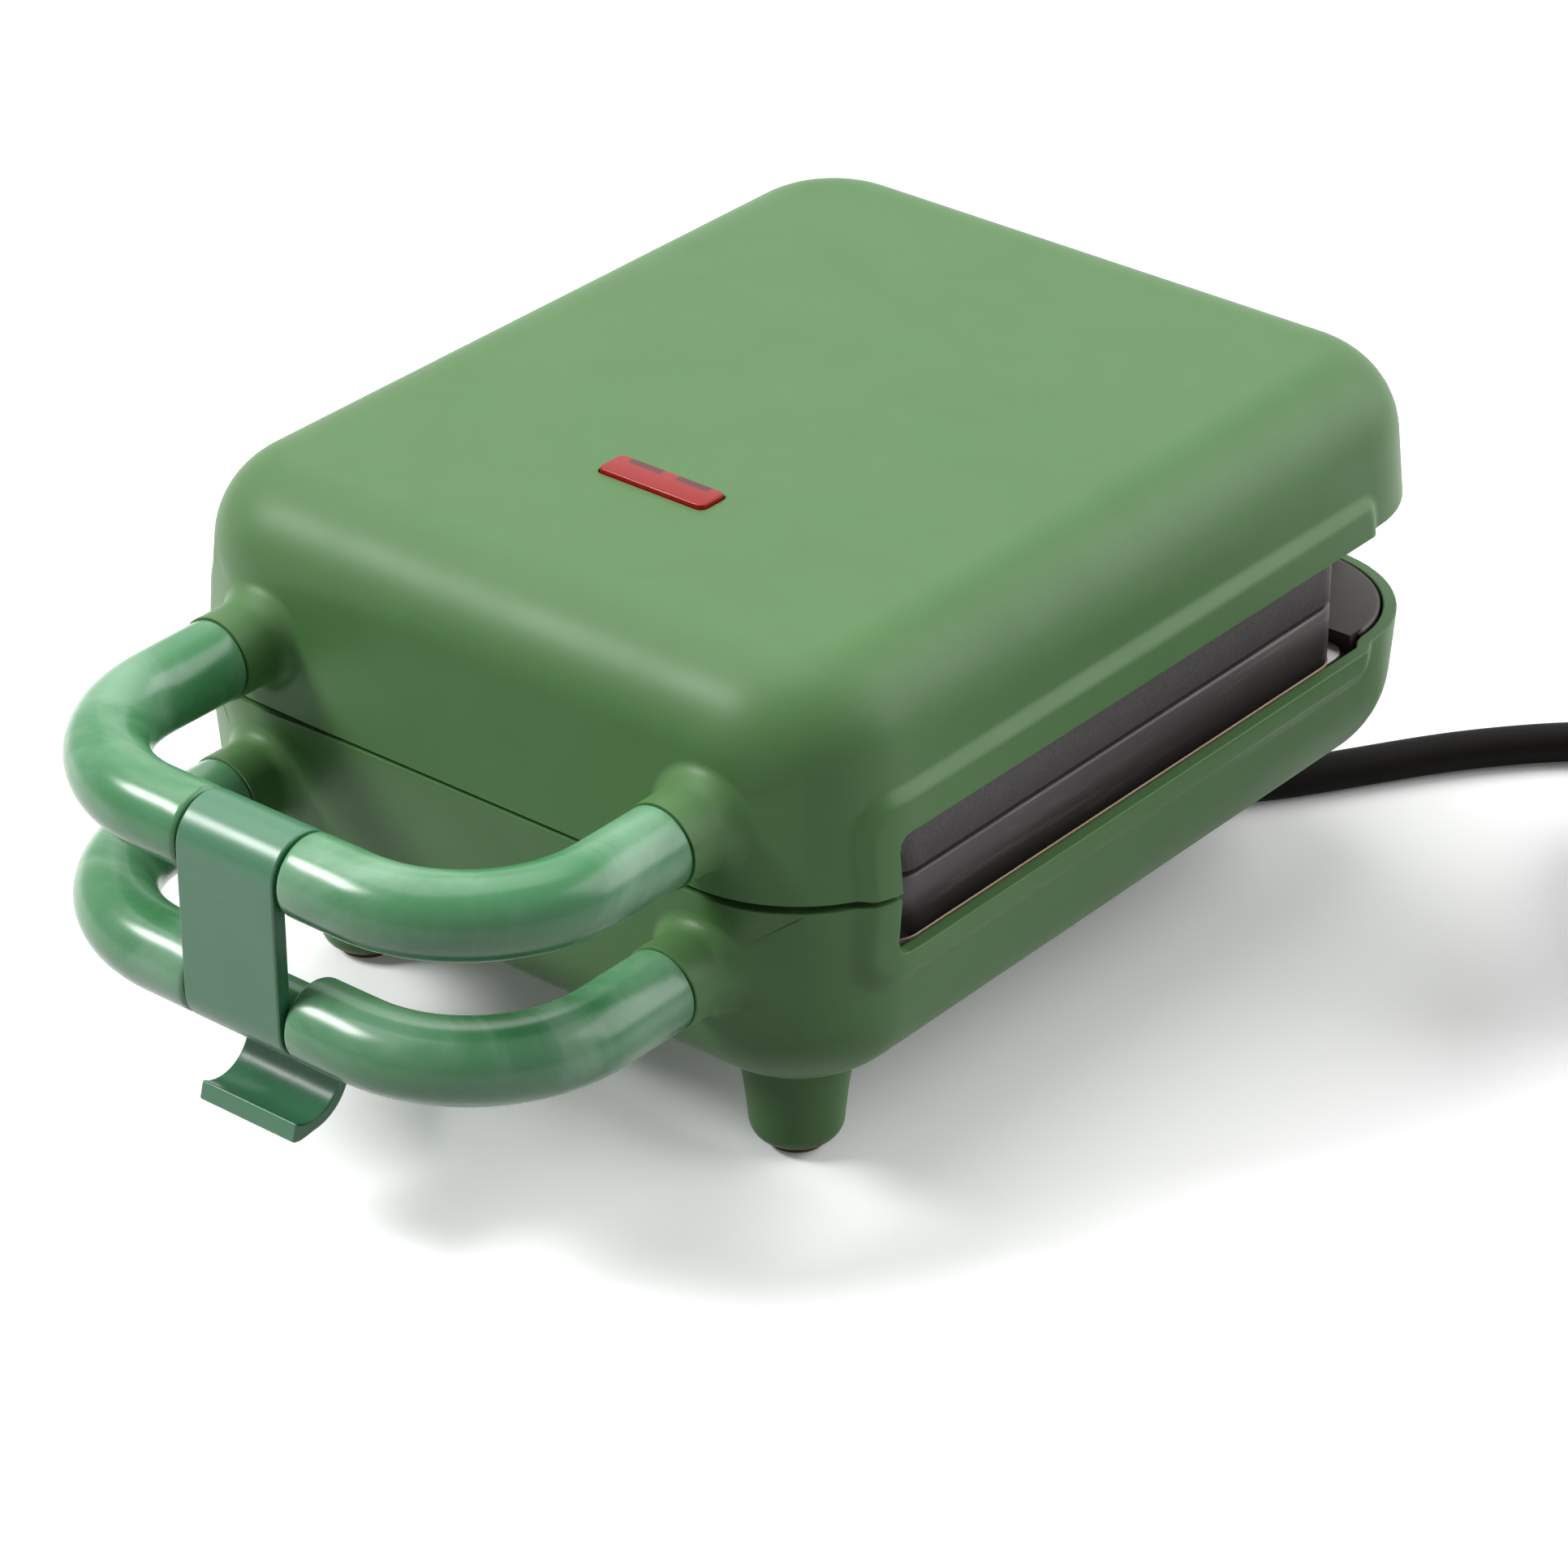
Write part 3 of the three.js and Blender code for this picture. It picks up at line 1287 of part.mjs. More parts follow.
// Parts that come once in each half
[["upper", "lid", lid], ["lower", "base", base]].forEach(([word, shellWord, half]) => {
  place(`${shellWord}_shell`, half === lid ? lidShell() : baseShell(), housingGreen);
  place(`${word}_frame`, innerFrame(half), frameDark);
  place(`${word}_reflector`, tray(half), sheetBright);
  place(`${word}_heater`, element(half), elementGrey);
  place(`${word}_plate`, cookingPlate(half), plateDark);
  place(`${word}_thermostat`, thermostat(half), ceramicWhite);
  place(`${word}_plate_latch`, plateLatch(half), frameDark);
  place(`${word}_handle`, handleTube(half), marbledGreen);
  frameScrewPlaces.forEach(([where, x, y]) => {
    place(`${shellWord}_screw_${where}`, frameScrew(half, x, y), steelBright);
  });
  place(`${word}_handle_screw_left`, handleScrew(half, -handleX), steelBright);
  place(`${word}_handle_screw_right`, handleScrew(half, handleX), steelBright);
});

// Parts that come in one half only
place("latch_clip", latchClip(), clipGreen);
place("indicator_lens", lens(), lensRed);
place("lamp_holder", lampHolder(), frameDark);
place("power_lamp", lamp(-lampX), lampAmber);
place("ready_lamp", lamp(lampX), lampGreen);
place("thermal_fuse", thermalFuse(), steelBright);
place("terminal_block", terminalBlock(), ceramicWhite);
place("cord_strain_relief", strainRelief(), cordBlack);
place("hinge_pin_left", hingePin(-1), steelBright);
place("hinge_pin_right", hingePin(1), steelBright);
footPlaces.forEach(([where, x, y]) => {
  place(`foot_pad_${where}`, footPad(x, y), rubberBrown);
});

// Internal wires, each from one terminal to the next
const wireRadius = 1;
const wireSides = 6;
const wireSteps = 14;
const wireGap = 2 * fitGap;
const corePitch = 2.6;
const coreRiseSetback = 12;
const fuseWireReach = 15;
const earthWireReach = 9.4;
const heaterWireSetback = 20;
const coreStartY = reliefFlangeFrontY - wireGap;
const coreRiseY = hoodRearY - coreRiseSetback;
const blockFrontY = blockY - blockHalfY - wireGap;
const blockRearY = blockY + blockHalfY + wireGap;
const earthEndY = blockFrontY - earthWireReach;
const bladeSideX = bladeX + bladeHalfThickness + wireGap;
const bladeMiddle = fromSplit(base, trayBack + bladeLength / 2);
const terminalUnder = fromSplit(base, terminalEnd + wireGap);
const terminalOver = fromSplit(lid, terminalEnd + wireGap);
const trayUnder = fromSplit(base, trayBack + wireGap);

function placeWire(name, points, material) {
  place(name, strand(points, wireRadius, wireSides, wireSteps), material);
}

// Cores of the lead, from the strain relief up and over to the terminal block
const cores = [["neutral_core", -1, wireBlue], ["earth_core", 0, wireStriped], ["live_core", 1, wireBrown]];
cores.forEach(([name, way, material]) => {
  const x = outletX + way * corePitch;
  const coreHeight = blockMiddle + way * corePitch;
  placeWire(name, [
    [x, coreStartY, outletHeight],
    [x, (coreStartY + coreRiseY) / 2, outletHeight + wireRadius],
    [x, coreRiseY, (outletHeight + coreHeight) / 2],
    [x - wireRadius, coreRiseY - wireRadius, coreHeight - wireRadius],
    [(x + blockX) / 2, (coreRiseY + blockRearY) / 2, coreHeight],
    [blockX + way * blockPitch, blockRearY + 2 * wireRadius, (coreHeight + blockMiddle) / 2],
    [blockX + way * blockPitch, blockRearY, blockMiddle],
  ], material);
});

// Wires of the base, from the terminal block to the fuse, thermostat, heating element and tray
placeWire("live_wire", [
  [blockX + blockPitch, blockFrontY, blockMiddle],
  [blockX + blockPitch, blockFrontY - 2 * wireRadius, blockMiddle],
  [fuseX - fuseReach - 4 * wireRadius, fuseY - wireRadius, fuseHeight - wireRadius],
  [fuseX - fuseReach - 2 * wireRadius, fuseY, fuseHeight],
  [fuseX - fuseReach - wireGap, fuseY, fuseHeight],
], wireBrown);
placeWire("fuse_wire", [
  [fuseX + fuseReach + wireGap, fuseY, fuseHeight],
  [fuseX + fuseReach + 3 * wireRadius, fuseY + 2 * wireRadius, fuseHeight],
  [fuseX + fuseReach, fuseY + fuseWireReach, bladeMiddle],
  [fuseX - wireRadius, thermostatY - wireRadius, bladeMiddle],
  [bladeSideX + 2 * wireRadius, thermostatY, bladeMiddle],
  [bladeSideX, thermostatY, bladeMiddle],
], wireWhite);
placeWire("heater_wire", [
  [-bladeSideX, thermostatY, bladeMiddle],
  [-bladeSideX - 3 * wireRadius, thermostatY + wireRadius, bladeMiddle],
  [-bladeSideX, thermostatY + bladeSlotHalfY * 2, blockMiddle + wireRadius],
  [elementHalfSpan / 2, elementRearY - heaterWireSetback, blockMiddle - wireRadius],
  [elementHalfSpan, elementRearY - 3 * wireRadius, terminalUnder - 3 * wireRadius],
  [elementHalfSpan, elementRearY, terminalUnder - wireRadius],
  [elementHalfSpan, elementRearY, terminalUnder],
], wireWhite);
placeWire("neutral_wire", [
  [blockX - blockPitch, blockFrontY, blockMiddle],
  [blockX - blockPitch - wireRadius, blockFrontY - 3 * wireRadius, blockMiddle - wireRadius],
  [-elementHalfSpan - 2 * wireRadius, blockY, blockMiddle - 2 * wireRadius],
  [-elementHalfSpan - 6 * wireRadius, thermostatY, blockMiddle - 2 * wireRadius],
  [-elementHalfSpan, elementRearY - 3 * wireRadius, terminalUnder - 3 * wireRadius],
  [-elementHalfSpan, elementRearY, terminalUnder - wireRadius],
  [-elementHalfSpan, elementRearY, terminalUnder],
], wireBlue);
placeWire("earth_wire", [
  [blockX, blockFrontY, blockMiddle],
  [blockX, blockFrontY - 4 * wireRadius, blockMiddle],
  [blockX - 2 * wireRadius, earthEndY, trayUnder - 4 * wireRadius],
  [blockX - 2 * wireRadius, earthEndY - wireRadius, trayUnder - wireRadius],
  [blockX - 2 * wireRadius, earthEndY - wireRadius, trayUnder],
], wireStriped);
placeWire("lamp_wire", [
  [-holderHalfLength - wireGap, lensY, holderFloor + holderHeight / 2],
  [-holderHalfLength - 4 * wireRadius, lensY + wireRadius, holderFloor + holderHeight / 2],
  [-elementHalfSpan - 8 * wireRadius, thermostatY, terminalOver + wireRadius],
  [-elementHalfSpan - wireRadius, elementRearY - 3 * wireRadius, terminalOver + 3 * wireRadius],
  [-elementHalfSpan, elementRearY, terminalOver + wireRadius],
  [-elementHalfSpan, elementRearY, terminalOver],
], wireWhite);

// Lead and coil
const winding = coilPath();
place("power_cord", strand(cordRoute, cordRadius, cordSides, cordSteps), cordBlack);
place("cord_coil", loft(coilRings(winding)), cordBlack);
place("plug_lead", strand(plugRoute, cordRadius, cordSides, plugLeadSteps), cordBlack);
console.log("cord coil least gap", leastGap(winding).toFixed(2), "mm");

// Tie, turned to its place on the coil
const tieGroup = new THREE.Group();
tieGroup.position.set(coilX, coilY, 0);
tieGroup.rotation.z = THREE.MathUtils.degToRad(tieDegrees);
maker.add(tieGroup);
place("cord_tie", cordTie(), cordBlack, tieGroup);

// Plug, turned to its place on the coil
const plugGroup = new THREE.Group();
const plugHeading = THREE.MathUtils.degToRad(plugHeadingDegrees);
const [plugEntryX, plugEntryY] = plugRoute[plugRoute.length - 1];
plugGroup.position.set(
  plugEntryX + fitGap * Math.sin(plugHeading), plugEntryY + fitGap * Math.cos(plugHeading), plugBack,
);
plugGroup.rotation.z = -plugHeading;
maker.add(plugGroup);
place("plug_body", plugBody(), cordBlack, plugGroup);
plugPins.forEach(([where, x, y, halfX, halfY, length]) => {
  const levels = [plugThickness - pinSink, plugThickness + length];
  const pin = box(x - halfX, x + halfX, y - halfY, y + halfY, ...levels);
  place(`plug_pin_${where}`, pin, brassYellow, plugGroup);
});

export default maker;
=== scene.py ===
"""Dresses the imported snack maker: smooth housings, handles, clip, lens, screws, lead and finishes.

Own sizes are in millimetres, with z = 0 on the ground and y = 0 in the middle of the housing.
Angles whose name doesn't say degrees are in radians.
"""

import logging
import math
from dataclasses import dataclass
from enum import Enum
from typing import Any, Iterable, Sequence

import bmesh
import bpy
import numpy as np
from mathutils import Matrix, Vector


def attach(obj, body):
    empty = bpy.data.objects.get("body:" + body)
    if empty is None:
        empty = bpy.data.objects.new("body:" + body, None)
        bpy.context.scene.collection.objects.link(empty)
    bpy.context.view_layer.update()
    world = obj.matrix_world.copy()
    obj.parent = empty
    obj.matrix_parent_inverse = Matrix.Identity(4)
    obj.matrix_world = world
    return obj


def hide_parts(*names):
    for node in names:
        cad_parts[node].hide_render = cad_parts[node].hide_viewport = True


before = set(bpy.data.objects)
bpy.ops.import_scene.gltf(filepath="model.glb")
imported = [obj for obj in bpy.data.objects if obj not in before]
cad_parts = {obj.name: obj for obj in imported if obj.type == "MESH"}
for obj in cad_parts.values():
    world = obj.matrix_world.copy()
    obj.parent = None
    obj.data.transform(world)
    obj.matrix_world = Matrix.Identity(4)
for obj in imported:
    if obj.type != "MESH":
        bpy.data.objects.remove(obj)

LOG = logging.getLogger("snack_maker")
MM = 0.001
SHIFT_Y = 22.3
QUARTER = math.pi / 2
Flat = tuple[float, float]
Point = tuple[float, float, float]
Face = tuple[int, ...]
Shape = tuple[list[Point], list[Face]]
Obj = bpy.types.Object
Paint = bpy.types.Material
Socket = bpy.types.NodeSocket


class Axis(Enum):
    """Axis that a profile is turned round."""

    Y = "along the body"
    Z = "upwards"


# ---------------------------------------------------------------- shared helpers


def metres(points: Iterable[Sequence[float]]) -> np.ndarray:
    """Turns own millimetres into metres of the part's frame, with its shift along y."""
    return (np.asarray(list(points), float) + (0.0, SHIFT_Y, 0.0)) * MM


def mesh_object(name: str, points: Iterable[Sequence[float]], faces: Iterable[Face],
                paint: Paint | None = None, smooth: bool = True,
                edges: Iterable[tuple[int, int]] = ()) -> Obj:
    """Makes a mesh object from points in own millimetres.

    Args:
        name: Name of the object.
        points: Places in own millimetres.
        faces: Corners of each face.
        paint: Material, or None for a helper object.
        smooth: Whether the faces are shaded smooth.
        edges: Loose edges, for paths.

    Returns:
        The linked object, at the origin.
    """
    mesh = bpy.data.meshes.new(name)
    mesh.from_pydata(metres(points).tolist(), list(edges), [tuple(f) for f in faces])
    mesh.validate()
    if smooth and len(mesh.polygons):
        mesh.shade_smooth()
    if paint is not None:
        mesh.materials.append(paint)
    obj = bpy.data.objects.new(name, mesh)
    bpy.context.scene.collection.objects.link(obj)
    return obj


def settle(obj: Obj) -> Obj:
    """Turns an object's modifiers into plain mesh.

    Args:
        obj: Object whose modifiers are applied.

    Returns:
        The same object with no modifiers.
    """
    bpy.context.view_layer.update()
    graph = bpy.context.evaluated_depsgraph_get()
    mesh = bpy.data.meshes.new_from_object(
        obj.evaluated_get(graph), preserve_all_data_layers=True, depsgraph=graph)
    obj.modifiers.clear()
    old = obj.data
    obj.data = mesh
    bpy.data.meshes.remove(old)
    mesh.name = obj.name
    return obj


def remove(*objects: Obj) -> None:
    """Deletes helper objects."""
    for obj in objects:
        bpy.data.objects.remove(obj)


def joined(name: str, objects: Sequence[Obj]) -> Obj:
    """Joins objects into the first one.

    Args:
        name: Name of the result.
        objects: Objects to join; the first one stays.

    Returns:
        The joined object.
    """
    for obj in bpy.context.selected_objects:
        obj.select_set(False)
    for obj in objects:
        obj.select_set(True)
    bpy.context.view_layer.objects.active = objects[0]
    if len(objects) > 1:
        bpy.ops.object.join()
    objects[0].name = name
    objects[0].data.name = name
    return objects[0]


def cleaned(work: bmesh.types.BMesh, merge: float) -> None:
    """Merges doubled points and turns the faces of closed shells outwards.

    Args:
        work: Mesh that is being worked on.
        merge: Distance below which points merge, in metres.
    """
    bmesh.ops.remove_doubles(work, verts=work.verts, dist=merge)
    bmesh.ops.dissolve_degenerate(work, edges=work.edges, dist=merge)
    loose = [vert for vert in work.verts if not vert.link_faces]
    bmesh.ops.delete(work, geom=loose, context="VERTS")
    bmesh.ops.recalc_face_normals(work, faces=work.faces)


def outward(obj: Obj) -> Obj:
    """Cleans a mesh and turns its faces outwards.

    Args:
        obj: Mesh object of closed shells.

    Returns:
        The same object.
    """
    work = bmesh.new()
    work.from_mesh(obj.data)
    cleaned(work, 1e-6)
    work.to_mesh(obj.data)
    work.free()
    return obj


def solid(name: str, shape: Shape, paint: Paint | None = None) -> Obj:
    """Makes a closed mesh object whose faces point outwards."""
    return outward(mesh_object(name, *shape, paint))


def walled(obj: Obj, wall: float, most: float = 1.5) -> Obj:
    """Gives an open skin its wall on the inner side.

    Args:
        obj: Skin whose normals point out.
        wall: Thickness in millimetres.
        most: Most that a corner's offset may be, as a multiple of the wall.

    Returns:
        The same object as a closed shell.
    """
    work = bmesh.new()
    work.from_mesh(obj.data)
    work.normal_update()
    inner = {}
    for vert in list(work.verts):
        offset = wall * MM * min(vert.calc_shell_factor(), most)
        inner[vert] = work.verts.new(vert.co - vert.normal * offset)
    rims = [loop for face in work.faces for loop in face.loops if len(loop.edge.link_faces) == 1]
    rim_pairs = [(loop.vert, loop.link_loop_next.vert) for loop in rims]
    backs = [[inner[loop.vert] for loop in reversed(face.loops)] for face in work.faces]
    for start, end in rim_pairs:
        work.faces.new((end, start, inner[start], inner[end]))
    for corners in backs:
        work.faces.new(corners)
    work.to_mesh(obj.data)
    work.free()
    return obj


def bevelled(obj: Obj, width: float, segments: int = 2, sharp_degrees: float = 35.0) -> Obj:
    """Rounds the sharp edges of an object.

    Args:
        obj: Mesh object.
        width: Width of the rounding in millimetres.
        segments: Steps of the rounding.
        sharp_degrees: Least angle between faces that counts as sharp.

    Returns:
        The same object, settled and shaded by face size.
    """
    bevel = obj.modifiers.new("edges", "BEVEL")
    bevel.width = width * MM
    bevel.segments = segments
    bevel.limit_method = "ANGLE"
    bevel.angle_limit = math.radians(sharp_degrees)
    bevel.use_clamp_overlap = True
    bevel.harden_normals = False
    weighted = obj.modifiers.new("shading", "WEIGHTED_NORMAL")
    weighted.keep_sharp = True
    weighted.weight = 80
    return settle(obj)


def cut(obj: Obj, cutter: Obj) -> Obj:
    """Cuts one closed object out of another and deletes the cutter.

    Args:
        obj: Object that is cut.
        cutter: Object that is taken away.

    Returns:
        The cut object.
    """
    step = obj.modifiers.new("cut", "BOOLEAN")
    step.operation = "DIFFERENCE"
    step.solver = "EXACT"
    step.object = cutter
    settle(obj)
    remove(cutter)
    return obj


def eased(value: float) -> float:
    """Holds a value between 0 and 1 and eases it at both ends."""
    share = min(max(value, 0.0), 1.0)
    return share * share * (3 - 2 * share)


def quarter(steps: int, first: int = 0) -> list[Flat]:
    """Gives sine and cosine at even steps of a quarter turn, from the first step to 90 degrees."""
    turns = [k / steps * QUARTER for k in range(first, steps + 1)]
    return [(math.sin(turn), math.cos(turn)) for turn in turns]


def turned(profile: Sequence[Flat], middle: Point, axis: Axis = Axis.Z,
           sides: int = 40) -> Shape:
    """Turns a profile round an axis.

    Args:
        profile: Radius and distance along the axis; the ends may lie on the axis.
        middle: Where the axis starts, in own millimetres.
        axis: The axis.
        sides: Number of sides.

    Returns:
        Points and faces of the turned shape.
    """
    points: list[Point] = []
    rings: list[list[int]] = []
    for radius, along in profile:
        ring = []
        for k in range(1 if radius < 1e-9 else sides):
            turn = math.tau * k / sides
            across, up = radius * math.cos(turn), radius * math.sin(turn)
            place = (across, along, up) if axis is Axis.Y else (across, up, along)
            ring.append(len(points))
            points.append((middle[0] + place[0], middle[1] + place[1], middle[2] + place[2]))
        rings.append(ring)
    faces: list[Face] = []
    for low, high in zip(rings, rings[1:]):
        for k in range(sides):
            a, b = low[k % len(low)], low[(k + 1) % len(low)]
            c, d = high[(k + 1) % len(high)], high[k % len(high)]
            face = tuple(dict.fromkeys((a, b, c, d)))
            if len(face) > 2:
                faces.append(face)
    return points, faces


def rounded_ring(half_x: float, half_y: float, radius: float, z: float, middle: Flat = (0.0, 0.0),
                 steps: int = 8) -> list[Point]:
    """Places a rounded rectangle at one height.

    Args:
        half_x: Half of its width.
        half_y: Half of its depth.
        radius: Corner radius.
        z: Height.
        middle: Its centre in x and y.
        steps: Steps in each corner.

    Returns:
        Its points, counter-clockwise from above.
    """
    ring = []
    for corner, (sx, sy) in enumerate(((1, 1), (-1, 1), (-1, -1), (1, -1))):
        for k in range(steps + 1):
            turn = (corner + k / steps) * QUARTER
            ring.append((middle[0] + sx * (half_x - radius) + radius * math.cos(turn),
                         middle[1] + sy * (half_y - radius) + radius * math.sin(turn), z))
    return ring


def grid_faces(rows: int, count: int, loop: bool) -> list[Face]:
    """Lists the faces between rows of equally many points, where the last row meets the first.

    Args:
        rows: Number of rows.
        count: Points in each row.
        loop: Whether the last point of a row meets its first one too.

    Returns:
        The faces.
    """
    faces: list[Face] = []
    for k in range(rows):
        low, high = k * count, (k + 1) % rows * count
        for i in range(count if loop else count - 1):
            j = (i + 1) % count
            faces.append((low + i, low + j, high + j, high + i))
    return faces


def lofted(rings: Sequence[Sequence[Point]]) -> Shape:
    """Joins rings of equally many points into a closed shape.

    Args:
        rings: Rings from one end to the other.

    Returns:
        Points and faces, the ends closed by one face each.
    """
    count, rows = len(rings[0]), len(rings)
    sides = grid_faces(rows, count, True)[:(rows - 1) * count]
    ends = tuple(reversed(range(count))), tuple(range((rows - 1) * count, rows * count))
    return [point for ring in rings for point in ring], [ends[0], *sides, ends[1]]


def stacked(size: Point, layers: Iterable[Flat], middle: Flat = (0.0, 0.0),
            steps: int = 8) -> Shape:
    """Stacks rounded rectangles into a closed block.

    Args:
        size: Half of the width, half of the depth and the corner radius.
        layers: Inset and height of each rectangle, from one end to the other.
        middle: Their centre in x and y.
        steps: Steps in each corner.

    Returns:
        Points and faces of the block.
    """
    half_x, half_y, corner = size
    return lofted([rounded_ring(half_x - inset, half_y - inset, corner, z, middle, steps)
                   for inset, z in layers])


def slab(outline: Sequence[Flat], x0: float, x1: float) -> Shape:
    """Carries an outline in the YZ plane along X."""
    return lofted([[(x, y, z) for y, z in outline] for x in (x0, x1)])


def arc(middle: Flat, radius: float, start: float, end: float, step: float = 5.0) -> list[Flat]:
    """Gives points of an arc in the YZ plane.

    Args:
        middle: Centre as y and z.
        radius: Radius.
        start: First angle in degrees, 0 along +Y and 90 along +Z.
        end: Last angle in degrees.
        step: Largest step in degrees.

    Returns:
        Points as y and z.
    """
    count = max(2, math.ceil(abs(end - start) / step))
    turns = np.radians(np.linspace(start, end, count + 1))
    return [(middle[0] + radius * math.cos(t), middle[1] + radius * math.sin(t)) for t in turns]


def smooth_path(points: Sequence[Sequence[float]], spacing: float) -> np.ndarray:
    """Runs a smooth curve through points and places new ones evenly on it.

    Args:
        points: Points that the curve passes through.
        spacing: Distance between the new points.

    Returns:
        The new points.
    """
    given = np.asarray(points, float)
    padded = np.vstack([2 * given[0] - given[1], given, 2 * given[-1] - given[-2]])
    dense = []
    for i in range(1, len(padded) - 2):
        p0, p1, p2, p3 = padded[i - 1:i + 3]
        t1 = np.linalg.norm(p1 - p0) ** 0.5
        t2 = t1 + np.linalg.norm(p2 - p1) ** 0.5
        t3 = t2 + np.linalg.norm(p3 - p2) ** 0.5
        for t in np.linspace(t1, t2, 12, endpoint=False):
            a1 = (t1 - t) / t1 * p0 + t / t1 * p1
            a2 = (t2 - t) / (t2 - t1) * p1 + (t - t1) / (t2 - t1) * p2
            a3 = (t3 - t) / (t3 - t2) * p2 + (t - t2) / (t3 - t2) * p3
            b1 = (t2 - t) / t2 * a1 + t / t2 * a2
            b2 = (t3 - t) / (t3 - t1) * a2 + (t - t1) / (t3 - t1) * a3
            dense.append((t2 - t) / (t2 - t1) * b1 + (t - t1) / (t2 - t1) * b2)
    line = np.vstack([dense, given[-1:]])
    steps = np.linalg.norm(np.diff(line, axis=0), axis=1)
    along = np.concatenate([[0.0], np.cumsum(steps)])
    marks = np.linspace(0.0, along[-1], max(2, int(round(along[-1] / spacing)) + 1))
    return np.stack([np.interp(marks, along, line[:, k]) for k in range(3)], 1)


def dress(piece: Obj, body: str, slot: str, *nodes: str) -> Obj:
    """Ties a finished piece to its body and hides the nodes that it stands for.

    Args:
        piece: The piece.
        body: Body that it rides on.
        slot: Material slot of the record; not used.
        *nodes: Nodes that it replaces.

    Returns:
        The piece.
    """
    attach(piece, body)
    if nodes:
        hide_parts(*nodes)
    LOG.info("%s rides on %s and stands for %s", piece.name, body, ", ".join(nodes) or "nothing")
    return piece


class Wiring:
    """Adds nodes to one tree and links their sockets."""

    def __init__(self, tree: bpy.types.NodeTree) -> None:
        """Keeps the tree."""
        self.tree = tree

    def add(self, kind: str, values: dict[str | int, Any] | None = None,
            **settings: Any) -> bpy.types.Node:
        """Adds a node.

        Args:
            kind: Type of the node.
            values: Value of each named or numbered input.
            **settings: Properties of the node.

        Returns:
            The node.
        """
        node = self.tree.nodes.new(kind)
        for name, value in settings.items():
            setattr(node, name, value)
        for entry, value in (values or {}).items():
            node.inputs[entry].default_value = value
        return node

    def link(self, *pairs: tuple[Socket, Socket]) -> None:
        """Links each output to its input."""
        for output, entry in pairs:
            self.tree.links.new(output, entry)

    def maths(self, operation: str, first: Socket, second: Socket | float = 0.0,
              clamp: bool = False) -> Socket:
        """Adds a sum, product or the like of one or two values.

        Args:
            operation: Blender's name of the operation.
            first: First value.
            second: Second value, as a socket or a number.
            clamp: Whether the result is held between 0 and 1.

        Returns:
            The result's socket.
        """
        node = self.add("ShaderNodeMath", operation=operation, use_clamp=clamp)
        self.link((first, node.inputs[0]))
        if isinstance(second, Socket):
            self.link((second, node.inputs[1]))
        else:
            node.inputs[1].default_value = second
        return node.outputs[0]


# ---------------------------------------------------------------- finishes


def linear(red: int, green: int, blue: int) -> tuple[float, float, float, float]:
    """Turns a screen colour into the shader's numbers.

    Args:
        red: Red, 0 to 255.
        green: Green, 0 to 255.
        blue: Blue, 0 to 255.

    Returns:
        The linear colour with full opacity.
    """
    def channel(value: int) -> float:
        """Turns one channel by the screen's curve."""
        part = value / 255
        return part / 12.92 if part <= 0.04045 else ((part + 0.055) / 1.055) ** 2.4
    return channel(red), channel(green), channel(blue), 1.0


class Grain(Enum):
    """How the surface of a finish is broken up, or where painted shadows lie on it."""

    SPECKLED = "speckled"
    MARBLED = "marbled"
    BLASTED = "blasted"
    BRUSHED = "brushed"
    # Not a grain: painted shadows of the two lamps that show through the lens.
    LIT = "lit"


@dataclass(frozen=True)
class Texture:
    """One noise texture of a finish.

    Attributes:
        scale: Its features in a metre, as a multiple of the finish's scale.
        detail: Octaves.
        rough: Weight of the finer octaves.
        folds: How much the pattern is folded.
        stretch: Scale along each axis.
        low: Value up to which only the main colour shows.
        high: Value from which the second colour shows fully.
    """

    scale: float
    detail: float
    rough: float
    folds: float = 0.0
    stretch: Point = (1.0, 1.0, 1.0)
    low: float = 0.0
    high: float = 1.0


GRAINS = {
    Grain.SPECKLED: Texture(0.1, 5.0, 0.6, low=0.35, high=0.7),
    Grain.MARBLED: Texture(1.0, 5.0, 0.55, 1.6, (0.55, 1.0, 1.0), 0.38, 0.66),
    Grain.BLASTED: Texture(2.2, 2.0, 0.8, low=0.42, high=0.7),
    Grain.BRUSHED: Texture(1.0, 6.0, 0.7, 0.2, (1.0, 0.06, 1.0), 0.5, 0.72),
}
GLOSS = Texture(0.08, 4.0, 0.55)
BUMP = Texture(2.0, 3.0, 0.6)
# How far the roughness falls and rises over a surface.
SMOOTHER, ROUGHER = 0.06, 0.08
# Colour sockets of a mix node.
MIX_FIRST, MIX_SECOND, MIX_RESULT = 6, 7, 2
# Painted shadows of the two lamps under the lens, dark blocks on its top skin: where each edge of
# their mask starts, and where it is full.
LAMP_SHADOW_INNER_X, LAMP_SHADOW_OUTER_X = (1.3, 1.6), (7.8, 7.5)
LAMP_SHADOW_FRONT_Y = (-35.4 + SHIFT_Y, -34.7 + SHIFT_Y)
LENS_SKIN_Z = (86.0, 86.1)


